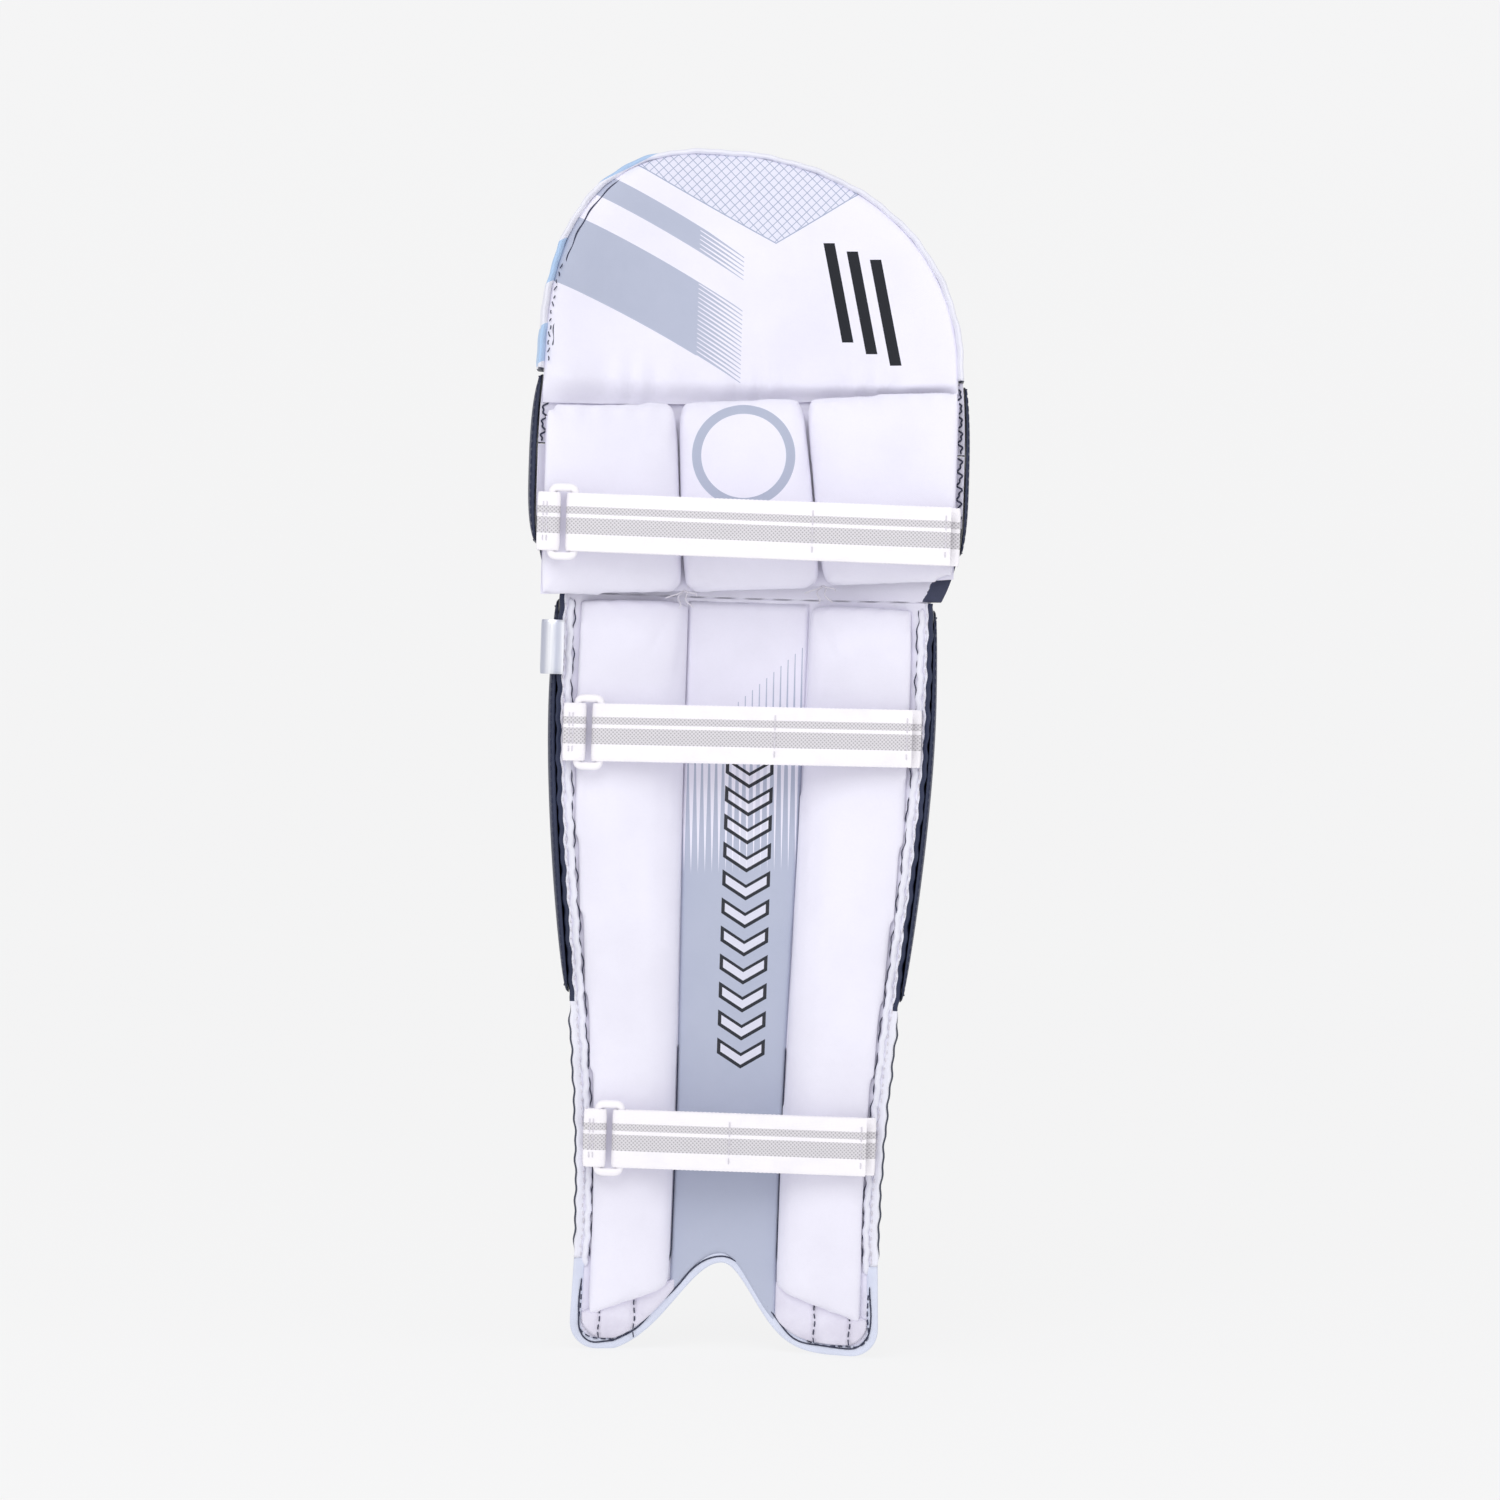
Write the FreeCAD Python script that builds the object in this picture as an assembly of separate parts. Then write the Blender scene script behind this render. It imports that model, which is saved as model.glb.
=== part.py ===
"""Left cricket batting leg pad: one STEP file for each separate piece.

Frame, in millimetres: +Z up the shin, +Y forward towards the ball, +X towards the wearer's right.
Z = 0 is the underside of the toes, X = 0 the middle of the shin, and Y = 0 the face that bears on the
shin. The pad wraps the leg, so each layer is a slice of a vertical tube, cut to an outline drawn in XZ.
"""

import FreeCAD, Part
import math
import os

Vector = FreeCAD.Vector

# ---- Overall sizes --------------------------------------------------------------------------------
pad_height = 728.0
ankle_half_width = 91.0
calf_half_width = 112.5
knee_half_width = 128.0
wrap_radius = 200.0

# ---- Heights up the pad ---------------------------------------------------------------------------
ankle_height = 75.0
calf_height = 400.0
shin_top = 456.0
roll_pitch = 44.0
roll_count = 3
fold_gap = 1.0
knee_top = shin_top + roll_count * roll_pitch

# ---- Layers, from the leg outwards ----------------------------------------------------------------
lining_thickness = 3.0
board_thickness = 8.0
lining_front = wrap_radius + lining_thickness
board_front = lining_front + board_thickness
binding_width = 3.5
binding_overhang = 1.5

# ---- Toes and instep arch -------------------------------------------------------------------------
toe_half_width = 93.0
toe_corner_radius = 15.0
toe_pad_thickness = 6.0
arch_height = 52.6
arch_centre = -2.4
arch_outer_spread = 40.0
arch_inner_spread = 29.0
arch_outer_foot = -66.0
arch_inner_foot = 64.0
instep_binding_height = 56.0

# ---- Shin: bolsters, printed panel and front ribs -------------------------------------------------
channel_half_width = 34.5
bolster_depth_at_channel = 22.0
bolster_depth_at_rim = 8.0
bolster_rim = 9.0
bolster_bottom_at_channel = 37.0
bolster_bottom_at_rim = 20.0
bolster_top = shin_top - 2.0
seam_gap = 0.5
panel_thickness = 2.0
panel_bottom = 62.0
rib_count = 7
rib_standoff = 5.0
rib_gap = 0.6
rib_top = shin_top - 3.0
rib_bottom = 70.0
outer_rib_bottom = 30.0
cane_radius = 4.0
cane_clearance = 0.15

# ---- Shin wings and side tab ----------------------------------------------------------------------
wing_thickness = 3.5
wing_gap = 0.5
wing_bottom = 215.0
wing_top = shin_top - 4.0
wing_back = -33.5
wing_front = 2.0
tab_height = 32.5
tab_length = 14.0
tab_thickness = 4.0
tab_tape = 1.0
tab_centre_height = 422.5
tab_inset = 4.0
tab_clearance = 0.6

# ---- Knee rolls and cradle ------------------------------------------------------------------------
roll_standoff = 14.0
knee_pinch = 11.0
knee_shoulder = 2.5
knee_wing_thickness = 4.0
knee_wing_gap = 1.6
knee_wing_bottom = shin_top + 28.0
knee_wing_top = knee_top - 2.0
knee_wing_back = -48.0
knee_wing_front = 5.0
cradle_half_width = 124.0
cradle_bottom = shin_top + 7.5
cradle_top = knee_top - 12.0
cradle_rise = 0.06
cradle_float = 7.5
cradle_panel_thickness = 2.0
cradle_depth_at_middle = 24.0
cradle_depth_at_edge = 8.0
cradle_seams_at_top = (-45.5, 31.0)
cradle_seams_at_bottom = (-38.5, 45.0)
spacer_margin = 2.0
spacer_half_width = 118.0

# ---- Top section ----------------------------------------------------------------------------------
crown_offset = -25.0
top_outer_reach = 129.0
top_inner_reach = 126.0
outer_roundness = 2.5
inner_roundness = 2.1
top_lining_thickness = 9.0
top_foam_thickness = 16.0
top_face_thickness = 3.0
top_lining_back = lining_front - top_lining_thickness
top_foam_front = lining_front + top_foam_thickness
top_face_front = top_foam_front + top_face_thickness

# ---- Straps and buckles ---------------------------------------------------------------------------
webbing_width = 35.0
webbing_thickness = 1.5
bar_radius = 2.25
bar_clearance = 0.3
bar_spacing = 16.0
buckle_side_clearance = 0.3
keeper_length = 7.5
fold_length = 5.0
fold_clearance = 0.4
strap_standoff = 1.5
patch_gap = 0.3
patch_length = 78.0
patch_margin = 1.5
tongue_short_of_edge = 6.0
tongue_corner_radius = 3.0
strap_heights = {"knee": 495.5, "calf": 373.0, "ankle": 129.0}

os.makedirs("parts", exist_ok=True)


# ---- Widths at a height ---------------------------------------------------------------------------
def shin_half_width(z):
    """Half width of the shin: a smooth step from the ankle's width to the calf's."""
    share = min(max((z - ankle_height) / (calf_height - ankle_height), 0.0), 1.0)
    smooth = share * share * (3.0 - 2.0 * share)
    return ankle_half_width + (calf_half_width - ankle_half_width) * smooth


def knee_half_width_at(z):
    """Half width of the knee: a cubic that pinches in at the shin and a little at the top section."""
    middle = 0.5 * (shin_top + knee_top)
    share = (z - middle) / (knee_top - middle)
    pinch = knee_pinch if share < 0 else knee_shoulder
    return knee_half_width - pinch * abs(share) ** 3


def surface_y(x, radius=wrap_radius, setback=0.0):
    """Y of a wrapped surface at a distance x from the middle."""
    return math.sqrt(radius * radius - x * x) - wrap_radius - setback


# ---- Building blocks ------------------------------------------------------------------------------
def tube_slice(inner, outer, setback=0.0):
    """The vertical tube between two radii, its axis moved back by setback."""
    base = Vector(0, -wrap_radius - setback, -20)
    height = pad_height + 40
    return Part.makeCylinder(outer, height, base).cut(Part.makeCylinder(inner, height, base))


def block(x0, x1, y0, y1, z0, z1):
    """A box between two corners, given in any order along X."""
    low = min(x0, x1)
    return Part.makeBox(abs(x1 - x0), y1 - y0, z1 - z0, Vector(low, y0, z0))


def prism(edges, y0=-120.0, y1=90.0):
    """The solid over a closed outline in XZ, from y0 to y1."""
    face = Part.Face(Part.Wire(Part.__sortEdges__(edges)))
    solid = face.extrude(Vector(0, y1 - y0, 0))
    solid.translate(Vector(0, y0, 0))
    return solid


def point(x, z):
    return Vector(x, 0, z)


def line(a, b):
    return Part.LineSegment(a, b).toShape()


def curve(points):
    """A smooth edge through points."""
    spline = Part.BSplineCurve()
    spline.interpolate(points)
    return spline.toShape()


def polygon(corners):
    """The edges of a closed outline with straight sides."""
    points = [point(x, z) for x, z in corners]
    return [line(a, b) for a, b in zip(points, points[1:] + points[:1])]


def side_points(width_at, side, z_low, z_high, count=8):
    """Points up one edge, from z_low to z_high."""
    heights = [z_low + (z_high - z_low) * i / (count - 1) for i in range(count)]
    return [point(side * width_at(z), z) for z in heights]


def band_between(outline_low, outline_high):
    """The edges of an outline between two curves that run the same way."""
    return [
        curve(outline_low),
        curve(outline_high),
        line(outline_low[0], outline_high[0]),
        line(outline_low[-1], outline_high[-1]),
    ]


def slab_outline(width_at, z_low, z_high):
    """A slab across the whole pad, with curved sides."""
    return band_between(side_points(width_at, -1, z_low, z_high), side_points(width_at, 1, z_low, z_high))


def edge_strip(width_at, side, gap, thickness, z_low, z_high):
    """A strip that follows one edge of the pad, outside it by gap."""
    near = side_points(lambda z: width_at(z) + gap, side, z_low, z_high)
    far = side_points(lambda z: width_at(z) + gap + thickness, side, z_low, z_high)
    return band_between(near, far)


def back_cylinder(x_near, y_near, x_far, y_far):
    """The upright cylinder, on the middle plane, whose wall passes through two points."""
    centre = (x_far**2 - x_near**2 + y_far**2 - y_near**2) / (2.0 * (y_far - y_near))
    radius = math.hypot(x_near, y_near - centre)
    return Part.makeCylinder(radius, pad_height + 40, Vector(0, centre, -20))


def single(shape):
    """The shape's one solid, cleaned of seams between its pieces."""
    clean = shape.removeSplitter()
    return clean.Solids[0] if len(clean.Solids) == 1 else clean


def save(name, shape):
    """Write one node's STEP file, and say what it holds."""
    shape.exportStep(f"parts/{name}.step")
    solids = len(shape.Solids)
    print(f"{name}: {solids} solid(s), {shape.Volume / 1000:.1f} cm3, valid {shape.isValid()}")


# ---- Shin ------------------------------------------------------------------------------------------
def arch_points(inset, count=9):
    """The instep arch: a bell curve, wider on the outer side, brought to zero at its two feet."""

    def bell(x):
        spread = arch_outer_spread if x < arch_centre else arch_inner_spread
        foot = arch_outer_foot if x < arch_centre else arch_inner_foot
        floor = math.exp(-(((foot - arch_centre) / spread) ** 2))
        return (math.exp(-(((x - arch_centre) / spread) ** 2)) - floor) / (1.0 - floor)

    low = arch_outer_foot - inset
    high = arch_inner_foot + inset
    outer = [low + (arch_centre - low) * i / (count - 1) for i in range(count)]
    inner = [arch_centre + (high - arch_centre) * i / (count - 1) for i in range(1, count)]
    heights = [max(arch_height * bell(x), 0.0) + inset for x in outer + inner]
    heights[0] = inset
    heights[-1] = inset
    return [point(x, z) for x, z in zip(outer + inner, heights)]


def shin_outline(inset, top):
    """The shin's outline: two toes, the arch between them, and the curved sides."""
    arch = arch_points(inset)
    corner = toe_corner_radius
    toe_edge = toe_half_width - inset
    edges = [curve(arch)]
    for side, foot in ((-1, arch[0]), (1, arch[-1])):
        sole = point(side * (toe_edge - corner), inset)
        heel = point(side * toe_edge, inset + corner)
        bend = corner * (1.0 - math.sqrt(0.5))
        middle = point(side * (toe_edge - bend), inset + bend)
        sides = side_points(lambda z: shin_half_width(z) - inset, side, ankle_height, top)
        edges.append(line(foot, sole))
        edges.append(Part.Arc(sole, middle, heel).toShape())
        edges.append(line(heel, sides[0]))
        edges.append(curve(sides))
    edges.append(line(point(-shin_half_width(top) + inset, top), point(shin_half_width(top) - inset, top)))
    return edges


shin_edge = shin_top - 0.5 * fold_gap
shin_body = prism(shin_outline(binding_width, shin_edge))
shin_whole = prism(shin_outline(0.0, shin_edge))


def make_shin_layers():
    """Lining, board, and the binding round their edge, in three lengths."""
    save("shin_lining", single(shin_body.common(tube_slice(wrap_radius, lining_front))))
    save("shin_board", single(shin_body.common(tube_slice(lining_front, board_front))))
    wrap = tube_slice(wrap_radius - binding_overhang, board_front + binding_overhang)
    ring = shin_whole.cut(shin_body).common(wrap)
    reach = knee_half_width + 20.0
    join = instep_binding_height
    save("instep_binding", single(ring.common(block(-reach, reach, -120, 90, -10, join))))
    save("outer_side_binding", single(ring.common(block(-reach, 0, -120, 90, join, shin_top))))
    save("inner_side_binding", single(ring.common(block(0, reach, -120, 90, join, shin_top))))


def make_bolsters():
    """The two long cushions beside the shin, and the toe pads below them."""
    near_x = channel_half_width
    far_x = calf_half_width - bolster_rim
    back = back_cylinder(
        near_x,
        surface_y(near_x) - bolster_depth_at_channel,
        far_x,
        surface_y(far_x) - bolster_depth_at_rim,
    )
    cushion = Part.makeCylinder(wrap_radius, pad_height, Vector(0, -wrap_radius, 0)).cut(back)
    pad = tube_slice(wrap_radius - toe_pad_thickness, wrap_radius)
    toes = prism(shin_outline(binding_width + seam_gap, ankle_height + bolster_bottom_at_channel))
    for name, side in (("outer", -1), ("inner", 1)):
        rim = side_points(lambda z: shin_half_width(z) - bolster_rim, side, bolster_bottom_at_rim, bolster_top)
        inside_low = point(side * near_x, bolster_bottom_at_channel)
        inside_high = point(side * near_x, bolster_top)
        outline = [curve(rim), line(rim[0], inside_low), line(inside_low, inside_high)]
        outline.append(line(inside_high, rim[-1]))
        save(f"shin_bolster_{name}", single(prism(outline).common(cushion)))
        below = polygon(
            [
                (inside_low.x, inside_low.z - seam_gap),
                (rim[0].x, rim[0].z - seam_gap),
                (side * toe_half_width, rim[0].z - seam_gap),
                (side * toe_half_width, 0.0),
                (inside_low.x, 0.0),
            ]
        )
        save(f"toe_pad_{name}", single(toes.common(prism(below)).common(pad)))


def make_centre_panel():
    """The printed panel along the channel between the bolsters."""
    reach = channel_half_width - seam_gap
    strip = block(-reach, reach, -120, 90, panel_bottom, bolster_top)
    save("centre_shin_panel", single(strip.common(tube_slice(wrap_radius - panel_thickness, wrap_radius))))


def rib_radius_at(half_width, axis_radius):
    """Half of one rib's share of the front arc, less half the gap."""
    arc = axis_radius * math.asin((half_width - binding_width) / (axis_radius + rib_standoff))
    return arc / rib_count - 0.5 * rib_gap


def make_ribs():
    """Seven tapered ribs up the front of the shin, each with a cane rod inside."""
    axis_radius = board_front + rib_standoff
    backing = Part.makeCylinder(board_front, pad_height, Vector(0, -wrap_radius, 0))
    low_radius = rib_radius_at(ankle_half_width, axis_radius)
    high_radius = rib_radius_at(calf_half_width, axis_radius)
    canes = []
    for i in range(rib_count):
        place = i - 0.5 * (rib_count - 1)
        foot = outer_rib_bottom if abs(place) > 1.5 else rib_bottom
        share = (foot - outer_rib_bottom) / (rib_top - outer_rib_bottom)
        foot_radius = low_radius + (high_radius - low_radius) * share
        ends = []
        for z, radius in ((foot, foot_radius), (rib_top, high_radius)):
            angle = place * (2.0 * radius + rib_gap) / axis_radius
            ends.append(Vector(axis_radius * math.sin(angle), axis_radius * math.cos(angle) - wrap_radius, z))
        way = ends[1] - ends[0]
        rib = Part.makeCone(foot_radius, high_radius, way.Length, ends[0], way)
        bore = Part.makeCylinder(cane_radius + cane_clearance, way.Length, ends[0], way)
        canes.append(Part.makeCylinder(cane_radius, way.Length, ends[0], way))
        save(f"shin_rib_{i + 1}", single(rib.cut(backing).cut(bore)))
    save("rib_canes", Part.makeCompound(canes))


def make_shin_wings():
    """The flaps that close the sides of the shin."""
    for name, side in (("outer", -1), ("inner", 1)):
        strip = edge_strip(shin_half_width, side, wing_gap, wing_thickness, wing_bottom, wing_top)
        save(f"{name}_shin_wing", single(prism(strip, wing_back, wing_front)))


def make_side_tab():
    """A folded tape loop that stands out of the outer edge."""
    root = -(calf_half_width - tab_inset)
    tip = root - tab_length
    front = surface_y(calf_half_width, wrap_radius - binding_overhang) - tab_clearance
    back = front - tab_thickness
    z0 = tab_centre_height - 0.5 * tab_height
    z1 = z0 + tab_height
    half = 0.5 * tab_thickness
    middle = 0.5 * (front + back)
    bend = tip + half
    outside = block(root, bend, back, front, z0, z1)
    outside = outside.fuse(Part.makeCylinder(half, tab_height, Vector(bend, middle, z0)))
    hollow = block(root - tab_tape, bend, back + tab_tape, front - tab_tape, z0, z1)
    hollow = hollow.fuse(Part.makeCylinder(half - tab_tape, tab_height, Vector(bend, middle, z0)))
    save("side_tab", single(outside.cut(hollow)))


# ---- Knee ------------------------------------------------------------------------------------------
def cradle_edge(base, x):
    """Height of the cradle's top or bottom edge, which rises a little towards the inner side."""
    return base + cradle_rise * x


def make_knee_rolls():
    """Three padded rolls across the knee, each on its own backing strip."""
    for i, name in enumerate(("lower", "middle", "upper")):
        z0 = shin_top + i * roll_pitch + 0.5 * fold_gap
        z1 = z0 + roll_pitch - fold_gap
        slab = prism(slab_outline(knee_half_width_at, z0, z1))
        save(f"knee_web_{name}", single(slab.common(tube_slice(wrap_radius, board_front))))
        centre = Vector(0, -wrap_radius, 0.5 * (z0 + z1))
        roll = Part.makeTorus(board_front + roll_standoff, 0.5 * (z1 - z0), centre)
        backing = Part.makeCylinder(board_front, pad_height, Vector(0, -wrap_radius, 0))
        save(f"knee_roll_{name}", single(roll.common(slab).cut(backing)))


def make_cradle():
    """Three cushions side by side behind the knee, on a panel that the middle roll carries."""
    reach = cradle_half_width
    corners = [
        (-reach, cradle_edge(cradle_bottom, -reach)),
        (reach, cradle_edge(cradle_bottom, reach)),
        (reach, cradle_edge(cradle_top, reach)),
        (-reach, cradle_edge(cradle_top, -reach)),
    ]
    cushion_face = cradle_float + cradle_panel_thickness
    panel_front = Part.makeCylinder(wrap_radius, pad_height, Vector(0, -wrap_radius - cradle_float, 0))
    panel_back = Part.makeCylinder(wrap_radius, pad_height, Vector(0, -wrap_radius - cushion_face, 0))
    panel = prism(polygon(corners)).common(panel_front).cut(panel_back)
    roll_low = shin_top + roll_pitch + 0.5 * fold_gap + spacer_margin
    roll_high = shin_top + 2 * roll_pitch - 0.5 * fold_gap - spacer_margin
    spacer = block(-spacer_half_width, spacer_half_width, -120, 90, roll_low, roll_high)
    spacer = spacer.common(Part.makeCylinder(wrap_radius, pad_height, Vector(0, -wrap_radius, 0)))
    save("cradle_panel", single(panel.fuse(spacer.cut(panel_back))))
    back = back_cylinder(
        0.0,
        -cushion_face - cradle_depth_at_middle,
        reach,
        surface_y(reach, wrap_radius, cushion_face) - cradle_depth_at_edge,
    )
    cushion = panel_back.cut(back)
    half = 0.5 * seam_gap
    seams_top = (-reach - half,) + cradle_seams_at_top + (reach + half,)
    seams_bottom = (-reach - half,) + cradle_seams_at_bottom + (reach + half,)
    for i, name in enumerate(("outer", "middle", "inner")):
        low = (seams_bottom[i] + half, seams_bottom[i + 1] - half)
        high = (seams_top[i] + half, seams_top[i + 1] - half)
        cell = polygon(
            [
                (low[0], cradle_edge(cradle_bottom, low[0])),
                (low[1], cradle_edge(cradle_bottom, low[1])),
                (high[1], cradle_edge(cradle_top, high[1])),
                (high[0], cradle_edge(cradle_top, high[0])),
            ]
        )
        save(f"cradle_cell_{name}", single(prism(cell).common(cushion)))


def make_knee_wings():
    """The stiff flaps that cover the ends of the three rolls."""
    for name, side in (("outer", -1), ("inner", 1)):
        strip = edge_strip(
            knee_half_width_at, side, knee_wing_gap, knee_wing_thickness, knee_wing_bottom, knee_wing_top
        )
        save(f"{name}_knee_wing", single(prism(strip, knee_wing_back, knee_wing_front)))


# ---- Top section -----------------------------------------------------------------------------------
def top_outline(inset, bottom, count=9):
    """The rounded top: two quarter superellipses that meet at the crown."""
    rise = pad_height - inset - bottom
    points = []
    for reach, power, side in (
        (top_outer_reach, outer_roundness, -1),
        (top_inner_reach, inner_roundness, 1),
    ):
        width = side * (reach - inset) - crown_offset
        quarter = []
        for i in range(count):
            turn = 0.5 * math.pi * i / (count - 1)
            across = abs(math.cos(turn)) ** (2.0 / power) if i < count - 1 else 0.0
            up = math.sin(turn) ** (2.0 / power)
            quarter.append(point(crown_offset + width * across, bottom + rise * up))
        points = quarter if side < 0 else points + quarter[-2::-1]
    return [curve(points), line(points[-1], points[0])]


def make_top_section():
    """Lining, foam and face of the top section, and the binding round its edge."""
    bottom = knee_top + 0.5 * fold_gap
    inside = prism(top_outline(binding_width, bottom))
    whole = prism(top_outline(0.0, bottom))
    save("top_lining", single(inside.common(tube_slice(top_lining_back, lining_front))))
    save("top_foam", single(inside.common(tube_slice(lining_front, top_foam_front))))
    save("top_face", single(inside.common(tube_slice(top_foam_front, top_face_front))))
    wrap = tube_slice(top_lining_back - binding_overhang, top_face_front + binding_overhang)
    save("top_binding", single(whole.cut(inside).common(wrap)))


# ---- Straps ----------------------------------------------------------------------------------------
def tube_half(x, y, z0, side):
    """Webbing bent half way round a buckle bar, on the side that side gives."""
    inner = bar_radius + bar_clearance
    outer = inner + webbing_thickness
    base = Vector(x, y, z0)
    ring = Part.makeCylinder(outer, webbing_width, base).cut(Part.makeCylinder(inner, webbing_width, base))
    return ring.common(block(x, x + side * 2 * outer, y - outer, y + outer, z0, z0 + webbing_width))


def make_strap(name, left, right, anchor_front, back_face):
    """One strap: its keeper, buckle, fixed band, the fold through the buckle, the free tongue
    and the hook and loop patches that hold the tongue down on the band."""
    middle = strap_heights[name]
    z0 = middle - 0.5 * webbing_width
    z1 = z0 + webbing_width
    bend = bar_radius + bar_clearance
    turn = bend + webbing_thickness
    bar_y = back_face - turn
    left_bar = left + keeper_length
    right_bar = left_bar + bar_spacing
    front_layer = (bar_y + bend, bar_y + turn)
    back_layer = (bar_y - turn, bar_y - bend)

    keeper = tube_half(left_bar, bar_y, z0, 1)
    keeper = keeper.fuse(block(left, left_bar, *front_layer, z0, z1))
    keeper = keeper.fuse(block(left, left_bar, *back_layer, z0, z1))
    keeper = keeper.fuse(block(left, left + webbing_thickness, bar_y - turn, anchor_front, z0, z1))
    save(f"{name}_keeper", single(keeper))

    end_z = 0.5 * webbing_width + buckle_side_clearance + bar_radius
    buckle = None
    for x in (left_bar, right_bar):
        bar = Part.makeCylinder(bar_radius, 2 * end_z, Vector(x, bar_y, middle - end_z))
        buckle = bar if buckle is None else buckle.fuse(bar)
        for z in (middle - end_z, middle + end_z):
            buckle = buckle.fuse(Part.makeSphere(bar_radius, Vector(x, bar_y, z)))
    for z in (middle - end_z, middle + end_z):
        cross = Part.makeCylinder(bar_radius, bar_spacing, Vector(left_bar, bar_y, z), Vector(1, 0, 0))
        buckle = buckle.fuse(cross)
    save(f"{name}_buckle", single(buckle))

    fold_end = right_bar + fold_length
    fold = tube_half(right_bar, bar_y, z0, -1)
    fold = fold.fuse(block(right_bar, fold_end, *front_layer, z0, z1))
    fold = fold.fuse(block(right_bar, fold_end, *back_layer, z0, z1))
    save(f"{name}_strap_fold", single(fold))

    start = fold_end + fold_clearance
    band = block(start, right, *front_layer, z0, z1)
    band = band.fuse(block(right - webbing_thickness, right, front_layer[0], anchor_front, z0, z1))
    save(f"{name}_strap_band", single(band))

    tip = right - tongue_short_of_edge
    tongue = block(start, tip, *back_layer, z0, z1)
    tip_edges = [e for e in tongue.Edges if abs(e.BoundBox.XMin - tip) < 0.01 and e.BoundBox.YLength > 1.0]
    tongue = tongue.makeFillet(tongue_corner_radius, tip_edges)
    save(f"{name}_strap_tongue", tongue)

    patch = 0.5 * (front_layer[0] - back_layer[1] - patch_gap)
    patch_end = tip - tongue_corner_radius
    patch_start = patch_end - patch_length
    low = z0 + patch_margin
    high = z1 - patch_margin
    loop = block(patch_start, patch_end, front_layer[0] - patch, front_layer[0], low, high)
    hook = block(patch_start, patch_end, back_layer[1], back_layer[1] + patch, low, high)
    save(f"{name}_loop_patch", loop)
    save(f"{name}_hook_patch", hook)
    print(
        f"{name}: bars at x {left_bar:.2f} and {right_bar:.2f}, y {bar_y:.2f}; "
        f"tongue hinge x {fold_end + 0.5 * fold_clearance:.2f}, y {bar_y - turn:.2f}"
    )


def make_straps():
    """The knee strap goes round the cradle's edges, and the other two are sewn inside the shin's."""
    cradle_side = cradle_half_width + bar_clearance + webbing_thickness
    panel_front = surface_y(cradle_half_width, wrap_radius, cradle_float)
    cradle_back = surface_y(cradle_half_width, wrap_radius, cradle_float + cradle_panel_thickness)
    cradle_back -= cradle_depth_at_edge
    make_strap("knee", -cradle_side, cradle_side, panel_front, cradle_back - strap_standoff)
    near = (channel_half_width, surface_y(channel_half_width) - bolster_depth_at_channel)
    for name in ("calf", "ankle"):
        edge = shin_half_width(strap_heights[name] - 0.5 * webbing_width) - binding_width - seam_gap
        far_x = edge - bolster_rim
        rim_back = surface_y(calf_half_width - bolster_rim) - bolster_depth_at_rim
        share = (far_x - near[0]) / (calf_half_width - bolster_rim - near[0])
        cushion_back = near[1] + (rim_back - near[1]) * share
        make_strap(name, -edge, edge, surface_y(edge), cushion_back - strap_standoff)


make_shin_layers()
make_bolsters()
make_centre_panel()
make_ribs()
make_shin_wings()
make_side_tab()
make_knee_rolls()
make_cradle()
make_knee_wings()
make_top_section()
make_straps()
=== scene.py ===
"""Looks of a left cricket batting leg pad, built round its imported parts.

Metres, in the part's own frame: +Z up the shin, +Y forward, +X towards the wearer's right, and Z = 0
under the toes. Every soft layer is a slice of the tube that wraps the leg, so a surface is mostly an
outline in XZ and a lift: the distance that it stands out from the face that bears on the leg.
"""

import math

import bmesh
import bpy
import numpy as np
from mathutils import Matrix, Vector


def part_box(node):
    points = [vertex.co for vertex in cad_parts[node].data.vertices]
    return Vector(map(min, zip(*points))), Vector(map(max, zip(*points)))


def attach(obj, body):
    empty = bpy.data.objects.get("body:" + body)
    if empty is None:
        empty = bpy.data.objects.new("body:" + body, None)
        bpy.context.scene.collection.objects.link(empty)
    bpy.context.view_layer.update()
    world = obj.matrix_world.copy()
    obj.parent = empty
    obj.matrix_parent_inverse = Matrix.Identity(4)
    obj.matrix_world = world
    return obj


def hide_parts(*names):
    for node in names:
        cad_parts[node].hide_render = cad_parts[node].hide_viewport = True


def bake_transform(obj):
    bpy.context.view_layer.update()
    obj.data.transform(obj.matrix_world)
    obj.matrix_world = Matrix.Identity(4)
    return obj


bl_info = {
    "name": "Cricket leg pad",
    "version": (1, 0, 0),
    "blender": (4, 5, 0),
    "location": "3D View > Sidebar > Leg pad",
    "description": "Builds the cloth, padding, straps and finishes of a batting leg pad on its packed parts",
    "category": "Object",
}

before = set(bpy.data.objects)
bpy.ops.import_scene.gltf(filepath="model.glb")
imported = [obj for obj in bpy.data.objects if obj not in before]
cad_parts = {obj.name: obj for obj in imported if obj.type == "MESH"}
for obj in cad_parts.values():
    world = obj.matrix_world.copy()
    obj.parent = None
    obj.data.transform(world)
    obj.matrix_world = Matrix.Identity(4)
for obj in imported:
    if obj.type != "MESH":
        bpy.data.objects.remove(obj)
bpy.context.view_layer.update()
MM = 0.001
rng = np.random.default_rng(11)

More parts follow.
